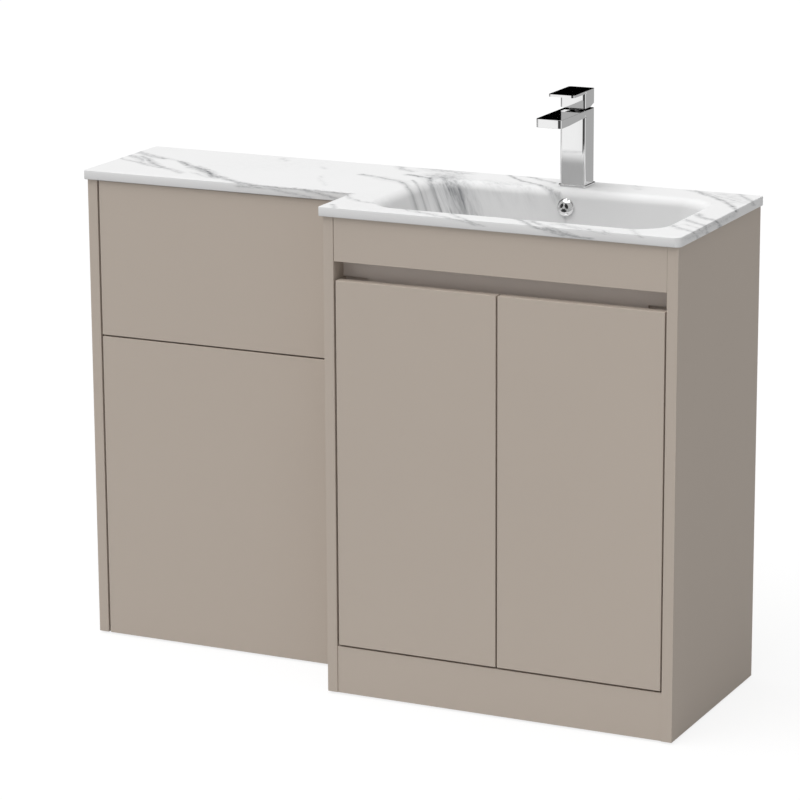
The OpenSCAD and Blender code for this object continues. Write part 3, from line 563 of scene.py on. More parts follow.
@dataclass(frozen=True)
class Metal(Finish):
    """A plated metal: its colour, how polished it is and how fine its marks are."""

    slot: str = "chrome"
    colour: float = 0.86
    dull: float = 0.97
    polish: float = 0.035
    marks: float = 0.02
    mark_scale: float = 260.0
    mark_stretch: tuple[float, float, float] = (1.0, 1.0, 0.25)
    mark_depth: float = 0.000004

    def build(self) -> bpy.types.Material:
        """Makes the material.

        Returns:
            The new material.
        """
        sheet = ShaderSheet.named(self.slot)
        at = sheet.vector("MULTIPLY", sheet.place(), self.mark_stretch)
        haze = sheet.noise(at, self.mark_scale, detail=4.0)
        return sheet.surface(
            Base_Color=sheet.blend(haze, grey(self.colour * self.dull), grey(self.colour)),
            Metallic=1.0,
            Roughness=self.polish + self.marks * haze,
            Normal=sheet.bump(haze, self.mark_depth, self.marks),
        )


@dataclass(frozen=True)
class Moulded(Finish):
    """A moulded plastic or rubber with a fine spark-eroded grain."""

    slot: str = "white_plastic"
    tone: float = 0.8
    shade: float = 0.94
    cloud_scale: float = 30.0
    gloss: float = 0.45
    gloss_range: float = 0.08
    grain: float = 0.00003
    grain_scale: float = 1800.0
    grain_strength: float = 0.6

    def build(self) -> bpy.types.Material:
        """Makes the material.

        Returns:
            The new material.
        """
        sheet = ShaderSheet.named(self.slot)
        at = sheet.place()
        grain = sheet.noise(at, self.grain_scale, detail=2.0)
        cloud = sheet.noise(at, self.cloud_scale)
        return sheet.surface(
            Base_Color=sheet.blend(cloud, grey(self.tone * self.shade), grey(self.tone)),
            Roughness=self.gloss + self.gloss_range * grain,
            Normal=sheet.bump(grain, self.grain, self.grain_strength),
        )


class Look(Enum):
    """The finishes that the unit is made in."""

    BOARD = FoilBoard()
    # a lighter copy of the board's foil: painted light in the shaded finger recess
    PROFILE = FoilBoard(
        name="recess_painted_light",
        tone=(0.70, 0.63, 0.58, 1.0),
        shade=(0.68, 0.61, 0.56, 1.0),
        gloss=0.3,
    )
    CORE = RawBoard()
    MARBLE = MarbleResin(zone=(-600, -55.5))
    MARBLE_MIDDLE = MarbleResin(zone=(-55.5, 247))
    MARBLE_RIGHT = MarbleResin(zone=(247, 600))
    CHROME = Metal()
    STEEL = Metal(slot="steel", colour=0.62, polish=0.2, marks=0.16, mark_scale=700.0)
    WHITE = Moulded()
    GREY = Moulded(slot="grey_plastic", tone=0.19)
    CLEAR = Moulded(slot="clear_rubber", tone=0.72, gloss=0.25, grain=0.00001)
    BLACK = Moulded(slot="black_rubber", tone=0.035, gloss=0.6)

    def material(self) -> bpy.types.Material:
        """The finish's material, made on its first use.

        Returns:
            The material, the same one at each call.
        """
        if self not in _MADE:
            _MADE[self] = self.value.build()
        return _MADE[self]


_MADE: dict[Look, bpy.types.Material] = {}


def clear() -> None:
    """Goes to object mode with nothing selected, ready for a new primitive."""
    if bpy.context.mode != "OBJECT":
        bpy.ops.object.mode_set(mode="OBJECT")
    for other in bpy.context.selected_objects:
        other.select_set(False)


def only(piece: bpy.types.Object) -> None:
    """Makes a piece the one selected and active object.

    Args:
        piece: the object.
    """
    for other in bpy.context.selected_objects:
        other.select_set(False)
    piece.select_set(True)
    bpy.context.view_layer.objects.active = piece


def middle(node: str) -> Vector:
    """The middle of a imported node's box."""
    low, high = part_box(node)
    return (low + high) / 2


class Shaper:
    """Shapes one mesh as by hand: a primitive, then edit-mode operators on what is chosen."""

    def __init__(self, piece: bpy.types.Object) -> None:
        """Starts from a primitive that was just added, with its place moved into its mesh.

        Args:
            piece: the primitive.
        """
        self.piece = piece
        only(piece)
        bpy.ops.object.transform_apply(location=True, rotation=True, scale=True)

    @classmethod
    def block(cls, name: str, low: Vector, high: Vector) -> "Shaper":
        """A block between two corners.

        Args:
            name: the object's name.
            low: its lowest corner.
            high: its highest corner.

        Returns:
            The block's shaper.
        """
        clear()
        bpy.ops.mesh.primitive_cube_add(size=1, location=(low + high) / 2, scale=high - low)
        bpy.context.object.name = name
        return cls(bpy.context.object)

    @classmethod
    def drum(
        cls,
        name: str,
        centre: Vector,
        radius: float,
        depth: float,
        axis: Vector = Z,
        sides: int = 64,
    ) -> "Shaper":
        """A round bar about an axis, centred on a point.

        Args:
            name: the object's name.
            centre: the middle of the bar.
            radius: its radius.
            depth: its length along the axis.
            axis: the way that it runs.
            sides: how many sides stand for its round.

        Returns:
            The bar's shaper.
        """
        clear()
        turn = axis.to_track_quat("Z", "Y").to_euler()
        bpy.ops.mesh.primitive_cylinder_add(
            vertices=sides, radius=radius, depth=depth, location=centre, rotation=turn
        )
        bpy.context.object.name = name
        return cls(bpy.context.object)

    @classmethod
    def bar(
        cls, centre: Vector, radius: float, low: float, high: float, sides: int = 64
    ) -> "Shaper":
        """An upright round bar at a place in plan, between two heights."""
        place = Vector((centre.x, centre.y, (low + high) / 2))
        return cls.drum("bar", place, radius, high - low, Z, sides)

    def edit(self, select: str = "DESELECT") -> bmesh.types.BMesh:
        """Enters edit mode with nothing or all selected and returns the mesh under edit.

        Args:
            select: DESELECT for nothing selected, SELECT for all.

        Returns:
            The mesh under edit.
        """
        only(self.piece)
        if self.piece.mode != "EDIT":
            bpy.ops.object.mode_set(mode="EDIT")
        bpy.ops.mesh.select_all(action=select)
        return bmesh.from_edit_mesh(self.piece.data)

    def leave(self) -> "Shaper":
        """Goes back to object mode.

        Returns:
            This shaper.
        """
        if self.piece.mode == "EDIT":
            bpy.ops.object.mode_set(mode="OBJECT")
        return self

    def faces(self, test: Callable[[Vector, Vector], bool]) -> "Shaper":
        """Selects the faces that a test of centre and normal picks."""
        return self._pick("FACE", lambda face: test(face.calc_center_median(), face.normal))

    def edges(self, test: Callable[[Vector, Vector], bool]) -> "Shaper":
        """Selects the edges that a test of their two ends picks."""
        return self._pick("EDGE", lambda edge: test(edge.verts[0].co, edge.verts[1].co))

    def _pick(self, kind: str, test: Callable[..., bool]) -> "Shaper":
        """Selects the faces or the edges that a test picks.

        Args:
            kind: FACE or EDGE.
            test: says of a face or an edge whether it is picked.

        Returns:
            This shaper.
        """
        mesh = self.edit()
        bpy.ops.mesh.select_mode(type=kind)
        for part in mesh.faces if kind == "FACE" else mesh.edges:
            part.select_set(test(part))
        bmesh.update_edit_mesh(self.piece.data)
        return self

    def extrude(self, by: Vector) -> "Shaper":
        """Pulls the selected faces out."""
        bpy.ops.mesh.extrude_region_move(TRANSFORM_OT_translate={"value": by})
        return self

    def move(self, by: Vector) -> "Shaper":
        """Moves what is selected."""
        bpy.ops.transform.translate(value=by)
        return self

    def scale(self, factors: Vector, centre: Vector) -> "Shaper":
        """Scales what is selected about a point."""
        bpy.ops.transform.resize(value=factors, center_override=centre)
        return self

    def cut(self, point: Vector, normal: Vector) -> "Shaper":
        """Cuts the whole mesh along a plane, keeping both halves.

        Args:
            point: a point on the plane.
            normal: the plane's normal.

        Returns:
            This shaper.
        """
        self.edit("SELECT")
        bpy.ops.mesh.bisect(plane_co=point, plane_no=normal)
        return self

    def bevel(self, width: float, segments: int = 3, profile: float = 0.5) -> "Shaper":
        """Rounds the selected edges.

        Args:
            width: how far the rounding reaches from an edge.
            segments: the faces across it.
            profile: its form, round at 0.5.

        Returns:
            This shaper.
        """
        bpy.ops.mesh.bevel(
            offset=width, segments=segments, profile=profile, affect="EDGES", clamp_overlap=True
        )
        return self

    def ease(self, width: float, segments: int = 2, angle: float = 30.0) -> "Shaper":
        """Rounds every edge sharper than an angle, as a finished modifier.

        Args:
            width: how far the rounding reaches from an edge.
            segments: the faces across it.
            angle: edges sharper than this are rounded, in degrees.

        Returns:
            This shaper.
        """
        self.leave()
        limit = {"limit_method": "ANGLE", "angle_limit": math.radians(angle)}
        return self.modifier("BEVEL", width=width, segments=segments, **limit)

    def modifier(self, kind: str, **settings: object) -> "Shaper":
        """Adds a modifier with these settings and applies it.

        Args:
            kind: the modifier's type.
            settings: its properties.

        Returns:
            This shaper.
        """
        self.leave()
        only(self.piece)
        made = self.piece.modifiers.new(kind.lower(), kind)
        for key, value in settings.items():
            setattr(made, key, value)
        bpy.ops.object.modifier_apply(modifier=made.name)
        return self

    def combine(self, tool: "Shaper", operation: str = "DIFFERENCE") -> "Shaper":
        """Cuts with another shape or joins it, and removes that shape.

        Args:
            tool: the other shape.
            operation: DIFFERENCE to cut, UNION to join.

        Returns:
            This shaper.
        """
        tool.leave()
        self.modifier("BOOLEAN", object=tool.piece, operation=operation, solver="EXACT")
        bpy.data.objects.remove(tool.piece)
        return self

    def place(self, matrix: Matrix) -> "Shaper":
        """Moves the finished shape to its place and keeps the object at the origin.

        Args:
            matrix: takes the shape from where it is to its place.

        Returns:
            This shaper.
        """
        self.leave()
        only(self.piece)
        self.piece.matrix_world = matrix
        bpy.ops.object.transform_apply(location=True, rotation=True, scale=True)
        return self

    def dress(self, look: Look, body: str, *nodes: str, angle: float = 35.0) -> bpy.types.Object:
        """Finishes a piece: smooth shading, material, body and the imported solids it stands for.

        Args:
            look: the finish all over it.
            body: the body that it rides on.
            nodes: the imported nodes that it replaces.
            angle: edges sharper than this stay crisp, in degrees.

        Returns:
            The finished object.
        """
        self.leave()
        only(self.piece)
        bpy.ops.object.shade_smooth_by_angle(angle=math.radians(angle))
        self.modifier("WEIGHTED_NORMAL", keep_sharp=True)
        self.piece.data.materials.clear()
        self.piece.data.materials.append(look.material())
        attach(self.piece, body)
        if nodes:
            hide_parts(*nodes)
        log.info("%s: %d faces, on %s", self.piece.name, len(self.piece.data.polygons), body)
        return self.piece


@dataclass
class Board:
    """One cabinet board.

    Attributes:
        node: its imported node.
        body: the body that it rides on.
        bare: the sides on which its core is bare.
        edge: how far its edges are eased.
        seam: how far it stops short at its left end, so that the joint there shows as a dark line.
        bores: the bores in it.
        square: how far along a bare side the normals of its faces go.
    """

    node: str
    body: str = "carcass"
    bare: tuple[Vector, ...] = ()
    edge: float = 0.8 * MM
    seam: float = 0.0
    bores: list[Bore] = field(default_factory=list)
    square: float = 0.99

    def build(self) -> None:
        """Models the board with eased edges and its bores, and dresses it."""
        low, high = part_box(self.node)
        shape = Shaper.block(self.node + "_board", low + X * self.seam, high)
        shape.ease(self.edge)
        for centre, axis, radius, depth in self.bores:
            shape.combine(Shaper.drum("bore", centre, radius, 2 * depth, axis, sides=32))
        piece = shape.dress(Look.BOARD, self.body, self.node)
        if self.bare:
            piece.data.materials.append(Look.CORE.material())
            for face in piece.data.polygons:
                if any(face.normal.dot(side) > self.square for side in self.bare):
                    face.material_index = 1


@dataclass
class Cabinet:
    """The two carcasses with their fronts."""

    pin_radius: float = 2.5 * MM
    pin_depth: float = 10 * MM
    pin_pitch: float = 32 * MM
    pin_half: float = 4 * MM
    pins_spare: int = 2
    cup_radius: float = 17.5 * MM
    cup_depth: float = 12 * MM
    flange_radius: float = 19.5 * MM
    ear_half: float = 29 * MM
    left_edge: float = 1.5 * MM
    right_edge: float = 0.5 * MM
    door_edge: float = 1.2 * MM
    profile_edge: float = 0.6 * MM
    profile_flat: float = 1.0
    weld: float = 0.01 * MM
    seam: float = 0.6 * MM

    def build(self) -> None:
        """Models every board."""
        for side, facing, edge in (("left", X, self.left_edge), ("right", -X, self.right_edge)):
            node = "basin_gable_" + side
            Board(node, bare=(Y, -Z), edge=edge, bores=self._pin_bores(node, facing)).build()
        for node in ("wc_gable_left", "wc_gable_right"):
            Board(node, bare=(Y, -Z)).build()
        for node in ("basin_base", "basin_rail_top", "basin_rail_bottom", "shelf"):
            Board(node, bare=(Y,) if node in ("basin_base", "shelf") else (-Z,)).build()
        Board("plinth", bare=(-Z,)).build()
        Board("fascia", seam=self.seam).build()
        for rail in ("front_top", "middle", "foot", "back_top", "back_bottom"):
            Board("wc_rail_" + rail, bare=(-Z,)).build()
        for panel, body in (("lower", "carcass"), ("upper", "service_panel")):
            Board("wc_panel_" + panel, body, edge=self.door_edge, seam=self.seam).build()
        for side, seam in (("left", self.seam), ("right", 0.0)):
            door, bores = "door_" + side, self._cup_bores(side)
            Board(door, door, edge=self.door_edge, seam=seam, bores=bores).build()
        self._recess_rail()

    def _pin_bores(self, node: str, facing: Vector) -> list[Bore]:
        """The rows of shelf pin holes in a gable's inner face.

        Args:
            node: the gable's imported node.
            facing: the way that its inner face looks.

        Returns:
            The bores.
        """
        low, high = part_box("shelf_pins")
        gable_low, gable_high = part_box(node)
        x = gable_high.x if facing.x > 0 else gable_low.x
        half = (high.z - low.z) / 2
        rows = range(-self.pins_spare, self.pins_spare + 1)
        return [
            (Vector((x, y, low.z + half + k * self.pin_pitch)), X, self.pin_radius, self.pin_depth)
            for y in (low.y + self.pin_half, high.y - self.pin_half)
            for k in rows
        ]

    def _cup_bores(self, side: str) -> list[Bore]:
        """The bores for a door's hinge cups.

        Args:
            side: the door's side, left or right.

        Returns:
            The bores.
        """
        low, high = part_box("hinge_cups_" + side)
        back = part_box("door_" + side)[1].y
        x = low.x + self.flange_radius if side == "left" else high.x - self.flange_radius
        return [
            (Vector((x, back, z)), Y, self.cup_radius, self.cup_depth)
            for z in (low.z + self.ear_half, high.z - self.ear_half)
        ]

    def _recess_rail(self) -> None:
        """The profile behind the finger recess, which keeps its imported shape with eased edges."""
        only(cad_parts["recess_rail"])
        bpy.ops.object.duplicate()
        piece = bpy.context.object
        piece.name = "recess_profile"
        for key in [key for key in piece.keys() if key.startswith("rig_")]:
            del piece[key]
        piece.parent = None
        shape = Shaper(piece)
        shape.edit("SELECT")
        bpy.ops.mesh.remove_doubles(threshold=self.weld)
        bpy.ops.mesh.dissolve_limited(angle_limit=math.radians(self.profile_flat))
        shape.ease(self.profile_edge)
        # dressed in the lighter copy of the board's foil, painted light for the shaded recess
        shape.dress(Look.PROFILE, "carcass", "recess_rail")


@dataclass
class Worktop:
    """The moulded worktop: an L-shaped slab with a soft-rimmed bowl, its boss and its holes."""

    node: str = "worktop_basin"
    slab: float = 16 * MM
    over_front: float = 5 * MM
    over_step: float = 5.5 * MM
    corner: float = 12 * MM
    corner_steps: int = 8
    eased: float = 1.6 * MM
    bowl_width: float = 512 * MM
    bowl_right: float = 43 * MM
    bowl_front: float = 32 * MM
    ledge: float = 63 * MM
    bowl_depth: float = 118 * MM
    bowl_wall: float = 8 * MM
    rim_radius: float = 18 * MM
    rim_run: float = 14 * MM
    rim_steps: int = 8
    corner_in: float = 48 * MM
    corner_in_steps: int = 12
    floor_run: float = 20 * MM
    floor_steps: int = 7
    floor_grow: float = 0.7
    slope_side: float = 15.0
    slope_front: float = 16.0
    slope_back: float = 9.0
    boss_radius: float = 37 * MM
    waste_radius: float = 22 * MM
    seat_radius: float = 33.5 * MM
    seat_depth: float = 2.5 * MM
    overflow_radius: float = 11 * MM
    overflow_bore: float = 42 * MM
    tap_hole_radius: float = 17.5 * MM

    def __post_init__(self) -> None:
        """Finds the rim's corners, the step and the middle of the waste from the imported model."""
        self.low, self.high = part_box(self.node)
        right = self.high.x - self.bowl_right
        self.rim_low = Vector((right - self.bowl_width, self.low.y + self.bowl_front, self.high.z))
        self.rim_high = Vector((right, self.high.y - self.ledge, self.high.z))
        self.floor = self.high.z - self.bowl_depth
        self.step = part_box("basin_gable_left")[0].x - self.over_step
        self.waste = middle("waste_plug")

    def build(self) -> None:
        """Models the worktop and dresses it."""
        shape = self._slab()
        shape.combine(self._tub("bowl_shell", self.bowl_wall), "UNION")
        under, over = self.low.z, self.floor + self.slab
        boss = Shaper.bar(self.waste, self.boss_radius, under, self.floor - self.bowl_wall / 2)
        shape.combine(boss, "UNION")
        shape.combine(self._tub("bowl_cavity", 0.0))
        shape.edges(self._on_rim).bevel(self.rim_run, self.rim_steps)
        shape.combine(Shaper.bar(self.waste, self.waste_radius, under - self.slab, over))
        shape.combine(Shaper.bar(self.waste, self.seat_radius, self.floor - self.seat_depth, over))
        base_low, base_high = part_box("tap_body")
        tap = Vector((middle("tap_stud").x, base_high.y - (base_high.x - base_low.x) / 2, 0))
        shape.combine(Shaper.bar(tap, self.tap_hole_radius, self.floor, self.high.z + self.slab))
        lean = math.radians(self.slope_back)
        axis = Vector((0, -math.cos(lean), math.sin(lean)))
        cover = middle("overflow_cover")
        hole = Shaper.drum("hole", cover, self.overflow_radius, self.overflow_bore, axis, sides=48)
        shape.combine(hole)
        shape.cut(Vector((self.waste.x, 0, 0)), X)
        piece = shape.dress(Look.MARBLE, "carcass", self.node)
        for look in (Look.MARBLE_MIDDLE, Look.MARBLE_RIGHT):
            piece.data.materials.append(look.material())
        for face in piece.data.polygons:
            face.material_index = (face.center.x > self.step) + (face.center.x > self.waste.x)

    def _slab(self) -> Shaper:
        """The L-shaped slab with its round corner and eased edges.

        Returns:
            The slab's shape.
        """
        wc_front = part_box("wc_gable_left")[0].y - self.over_front
        corner = Vector((self.low.x, wc_front, self.high.z - self.slab))
        shape = Shaper.block("worktop", corner, self.high)
        shape.cut(Vector((self.step, 0, 0)), X)
        shape.faces(lambda c, n: n.y < -FACING and c.x > self.step)
        shape.extrude(Vector((0, self.low.y - wc_front, 0)))
        right, front = self.high.x - MM, self.low.y + MM
        shape.edges(lambda a, b: min(a.x, b.x) > right and max(a.y, b.y) < front)
        shape.bevel(self.corner, self.corner_steps)
        return shape.ease(self.eased, 3)

    def _inset(self, depth: float, slope: float) -> float:
        """How far a wall of this slope lies inside the rim's line at a depth."""
        rounding = self.rim_radius * math.tan(math.radians(90 - slope) / 2)
        return rounding + depth * math.tan(math.radians(slope))

    def back_wall(self, z: float) -> float:
        """The y of the bowl's back wall at a height."""
        return self.rim_high.y - self._inset(self.high.z - z, self.slope_back)

    def _tub(self, name: str, grow: float) -> Shaper:
        """The bowl's cavity, or the shell round it.

        Args:
            name: the shape's name.
            grow: how far the shape stands outside the cavity.

        Returns:
            A tapered block with round corners and a round edge at its floor.
        """
        bottom = self.bowl_depth + grow
        top = self.slab / 2 if grow else -self.slab
        under, over = (self._level(depth, grow) for depth in (bottom, top))
        shape = Shaper.block(name, under[0], Vector((under[1].x, under[1].y, over[1].z)))
        span = [a / b for a, b in zip((over[1] - over[0])[:2], (under[1] - under[0])[:2])]
        centre = (under[0] + under[1]) / 2
        shape.faces(lambda c, n: n.z > FACING).scale(Vector((*span, 1)), centre)
        shape.move(((over[0] + over[1]) / 2 - centre) * Vector((1, 1, 0)))
        shape.edges(lambda a, b: abs(a.z - b.z) > self.bowl_depth / 2)
        shape.bevel(self.corner_in + grow, self.corner_in_steps)
        shape.edges(lambda a, b: max(a.z, b.z) < under[0].z + MM)
        shape.bevel(self.floor_run + grow * self.floor_grow, self.floor_steps)
        return shape.leave()

    def _level(self, depth: float, grow: float) -> tuple[Vector, Vector]:
        """The corners of the tub's outline at a depth under the worktop's surface.

        Args:
            depth: the depth.
            grow: how far the outline stands outside the cavity.

        Returns:
            The lowest and the highest corner in plan.
        """
        slopes = (self.slope_side, self.slope_front, self.slope_back)
        side, front, back = (self._inset(depth, slope) - grow for slope in slopes)
        z = self.high.z - depth
        low = Vector((self.rim_low.x + side, self.rim_low.y + front, z))
        return low, Vector((self.rim_high.x - side, self.rim_high.y - back, z))

    def _on_rim(self, a: Vector, b: Vector) -> bool:
        """Whether an edge is part of the bowl's upper edge.

        Args:
            a: one end of the edge.
            b: its other end.

        Returns:
            True if both ends lie at the surface, inside the rim's line.
        """
        return all(
            abs(end.z - self.high.z) < NEAR
            and self.rim_low.x < end.x < self.rim_high.x
            and self.rim_low.y < end.y < self.rim_high.y
            for end in (a, b)
        )


@dataclass
class Tap:
    """The square mixer tap: its column with the spout, its foot and the lever with its plate."""

    width: float = 45 * MM
    depth: float = 40 * MM
    foot: float = 4 * MM
    foot_edge: float = 0.5 * MM
    spout_root: float = 11 * MM
    spout_drop: float = 3 * MM
    tip_run: float = 31 * MM
    plate: float = 4 * MM
    heel_run: float = 20 * MM
    heel_rise: float = 6 * MM
    corner: float = 5 * MM
    tip_corner: float = 6 * MM
    corner_steps: int = 5
    foot_steps: int = 4
    eased: float = 0.8 * MM
    barrel_radius: float = 15 * MM
    barrel_depth: float = 36 * MM
    skirt_wall: float = 2.5 * MM
    stem_hold: float = 9 * MM
    inlet_radius: float = 4.5 * MM
    inlet_depth: float = 14 * MM
    inlet_x: float = 8.5 * MM
    inlet_y: float = 5 * MM

    def __post_init__(self) -> None:
        """Finds the tap's axis, and the column's front and back."""
        self.low, self.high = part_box("tap_body")
        self.half = (self.high.x - self.low.x) / 2
        self.axis = Vector((self.low.x + self.half, self.high.y - self.half, 0))
        self.front = self.axis.y - self.depth / 2
        self.back = self.axis.y + self.depth / 2

    def build(self) -> None:
        """Models the body and the lever."""
        self._body()
        self._lever()

    def _column(self, name: str, low: float, high: float) -> Shaper:
        """A block of the column's plan between two heights."""
        half = Vector((self.width / 2, self.depth / 2, 0))
        return Shaper.block(name, self.axis - half + Z * low, self.axis + half + Z * high)

    def _body(self) -> None:
        """The column and spout, cast in one piece with the foot."""
        root = self.high.z - self.spout_root
        front = self.low.y + self.tip_run
        shape = self._column("tap_body_cast", self.low.z + self.foot / 2, self.high.z)
        shape.cut(Z * root, Z)
        shape.faces(lambda c, n: n.y < -FACING and c.z > root)
        shape.extrude(Vector((0, front - self.front, 0)))
        shape.edges(lambda a, b: max(a.y, b.y) < front + MM and max(a.z, b.z) < root + MM)
        shape.move(-Z * self.spout_drop)
        shape.faces(lambda c, n: n.y < -FACING and c.y < front + MM)
        shape.extrude(Vector((0, -self.tip_run, 0)))
        shape.edges(lambda a, b: self._upright(a, b, root))
        shape.bevel(self.corner, self.corner_steps)
        shape.edges(lambda a, b: abs(a.z - b.z) > MM and max(a.y, b.y) < self.low.y + MM)
        shape.bevel(self.tip_corner, self.corner_steps)
        shape.ease(self.eased, 2)
        shape.combine(self._foot(), "UNION")
        barrel = self.high.z - self.barrel_depth
        self._drill(shape, self.axis, self.barrel_radius, barrel, self.high.z + self.foot)
        under = self.low.z - self.foot
        for side in (-1, 1):
            inlet = self.axis + Vector((side * self.inlet_x, self.inlet_y, 0))
            self._drill(shape, inlet, self.inlet_radius, under, self.low.z + self.inlet_depth)
        low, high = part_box("tap_aerator")
        self._drill(shape, (low + high) / 2, (high.x - low.x) / 2, low.z - self.foot, high.z)
        shape.dress(Look.CHROME, "carcass", "tap_body")

    def _foot(self) -> Shaper:
        """The square foot that the column stands on.

        Returns:
            The foot's shape.
        """
        half = Vector((self.half, self.half, 0))
        low = self.axis - half + Z * self.low.z
        shape = Shaper.block("foot", low, self.axis + half + Z * (self.low.z + self.foot))
        shape.edges(lambda a, b: abs(a.z - b.z) > MM).bevel(self.corner, self.foot_steps)
        return shape.ease(self.foot_edge, 2)

    def _upright(self, a: Vector, b: Vector, root: float) -> bool:
        """Whether an edge is one of the column's upright corners."""
        upright = abs(a.z - b.z) > MM and abs(a.y - b.y) < NEAR and a.y > self.front - MM
        return upright and (min(a.z, b.z) < root or a.y > self.back - MM)

    @staticmethod
    def _drill(shape: Shaper, centre: Vector, radius: float, low: float, high: float) -> None:
        """Drills an upright hole between two heights."""
        shape.combine(Shaper.bar(centre, radius, low, high, sides=48))

    def _lever(self) -> None:
        """The lever: a block over the column, a flat plate forward and a heel cut away to tip."""
        low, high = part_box("tap_handle")
        under = high.z - self.plate
        shape = self._column("tap_lever_cast", low.z, high.z)
        shape.cut(Z * under, Z)
        shape.cut(Y * (self.back - self.heel_run), Y)
        shape.faces(lambda c, n: n.y < -FACING and c.z > under)
        shape.extrude(Y * (low.y - self.front))
        shape.edges(lambda a, b: min(a.y, b.y) > self.back - MM and max(a.z, b.z) < low.z + MM)
        shape.move(Z * self.heel_rise)
        shape.edges(lambda a, b: self._corner(a, b, low.y, under))
        shape.bevel(self.corner, self.corner_steps)
        shape.ease(self.eased, 2)
        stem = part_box("tap_stem")[1].z - self.stem_hold
        self._drill(shape, self.axis, self.barrel_radius - self.skirt_wall, low.z - self.foot, stem)
        shape.dress(Look.CHROME, "tap_lever", "tap_handle")

    def _corner(self, a: Vector, b: Vector, front: float, under: float) -> bool:
        """Whether an edge is an upright corner of the lever's plate, its block or its back.

        Args:
            a: one end of the edge.
            b: its other end.
            front: the y of the plate's front.
            under: the height of its underside.

        Returns:
            True if it is one of them.
        """
        upright = abs(a.z - b.z) > MM and abs(a.y - b.y) < NEAR
        beside = abs(abs(a.x - self.axis.x) - self.width / 2) < NEAR
        block = abs(a.y - self.front) < NEAR and max(a.z, b.z) < under + NEAR
        ends = any(abs(a.y - end) < NEAR for end in (front, self.back))
        return upright and beside and (block or ends)


@dataclass
class OverflowCover:
    """The domed chrome cover over the overflow, with three curved slots round its hub."""

    node: str = "overflow_cover"
    radius: float = 14.8 * MM
    tube_radius: float = 11 * MM
    tube_length: float = 8 * MM
    wall: float = 1.6 * MM
    lip: float = 2 * MM
    height: float = 9 * MM
    slot_from: float = 2.4 * MM
    slot_to: float = 7.4 * MM
    slot_turn: float = 88.0
    slots_at: tuple[float, ...] = (30, 150, 270)
    bore_walls: float = 1.2
    crisp: float = 50.0
    worktop: Worktop = field(default_factory=Worktop)

    def build(self) -> None:
        """Models the cover upright, then turns it onto the bowl's back wall."""
        shape = self._dome(self.radius, self.height)
        shape.combine(self._bar(self.tube_radius, -self.tube_length, self.lip / 2), "UNION")
        shape.combine(self._dome(self.tube_radius - self.wall, self.height - self.wall))
        bore = self.tube_radius - self.bore_walls * self.wall
        shape.combine(self._bar(bore, -2 * self.tube_length, self.lip))
        for turn in self.slots_at:
            shape.combine(self._slot(math.radians(turn)))
        shape.place(self._seat())
        shape.dress(Look.CHROME, "carcass", self.node, angle=self.crisp)

    @staticmethod
    def _bar(radius: float, low: float, high: float) -> Shaper:
        """A round bar on the axis between two heights."""
        return Shaper.bar(Vector(), radius, low, high)

    def _dome(self, radius: float, height: float) -> Shaper:
        """A flattened half ball over a short straight lip, closed underneath.

        Args:
            radius: the radius of the ball and of the lip.
            height: the height from the lip's foot to the top.

        Returns:
            The dome's shape, with the lip's foot at the origin.
        """
        clear()
        bpy.ops.mesh.primitive_uv_sphere_add(segments=64, ring_count=32, radius=radius)
        bpy.context.object.name = "overflow_dome"
        bpy.context.object.scale.z = (height - self.lip) / radius
        shape = Shaper(bpy.context.object)
        self._halve(shape, Z)
        shape.faces(lambda c, n: n.z < -FACING).extrude(-Z * self.lip)
        return shape.place(Matrix.Translation(Z * self.lip))

    @staticmethod
    def _halve(shape: Shaper, keep: Vector) -> None:
        """Cuts a shape through the origin, keeps the half on one side and closes it.

        Args:
            shape: the shape.
            keep: the way from the origin to the half that stays.
        """
        shape.edit("SELECT")
        bpy.ops.mesh.bisect(plane_co=(0, 0, 0), plane_no=keep, clear_inner=True, use_fill=True)
        shape.leave()

    def _slot(self, turn: float) -> Shaper:
        """A sector of a ring about the axis, centred on an angle, that cuts one slot.

        Args:
            turn: the angle of the slot's middle, in radians.

        Returns:
            The sector's shape.
        """
        shape = self._bar(self.slot_to, self.lip, 2 * self.height)
        shape.combine(self._bar(self.slot_from, 0.0, 3 * self.height))
        half = math.radians(self.slot_turn / 2)
        for side in (-1, 1):
            edge = turn + side * half
            self._halve(shape, side * Vector((math.sin(edge), -math.cos(edge), 0)))
        return shape

    def _seat(self) -> Matrix:
        """Where the cover's foot meets the bowl's back wall.

        Returns:
            The matrix that takes the upright cover there.
        """
        foot = middle(self.node)
        foot.y = self.worktop.back_wall(foot.z)
        lean = math.radians(90 - self.worktop.slope_back)
        return Matrix.Translation(foot) @ Matrix.Rotation(lean, 4, "X")


@dataclass
class Waste:
    """The click waste's plug, seen in the bowl."""

    edge: float = 2.2 * MM
    edge_steps: int = 5
    cap: float = 5 * MM
    stem_radius: float = 4 * MM

    def build(self) -> None:
        """Models the plug's round-edged cap with its stem."""
        low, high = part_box("waste_plug")
        radius = (high.x - low.x) / 2
        middle_z = high.z - self.cap / 2
        centre = Vector(((low.x + high.x) / 2, (low.y + high.y) / 2, middle_z))
        shape = Shaper.drum("waste_plug_cap", centre, radius, self.cap, sides=96)
        shape.edges(lambda a, b: min(a.z, b.z) > high.z - NEAR).bevel(self.edge, self.edge_steps)
        stem = Shaper.bar(centre, self.stem_radius, low.z, middle_z, sides=32)
        shape.combine(stem, "UNION")
        shape.dress(Look.CHROME, "click_plug", "waste_plug")


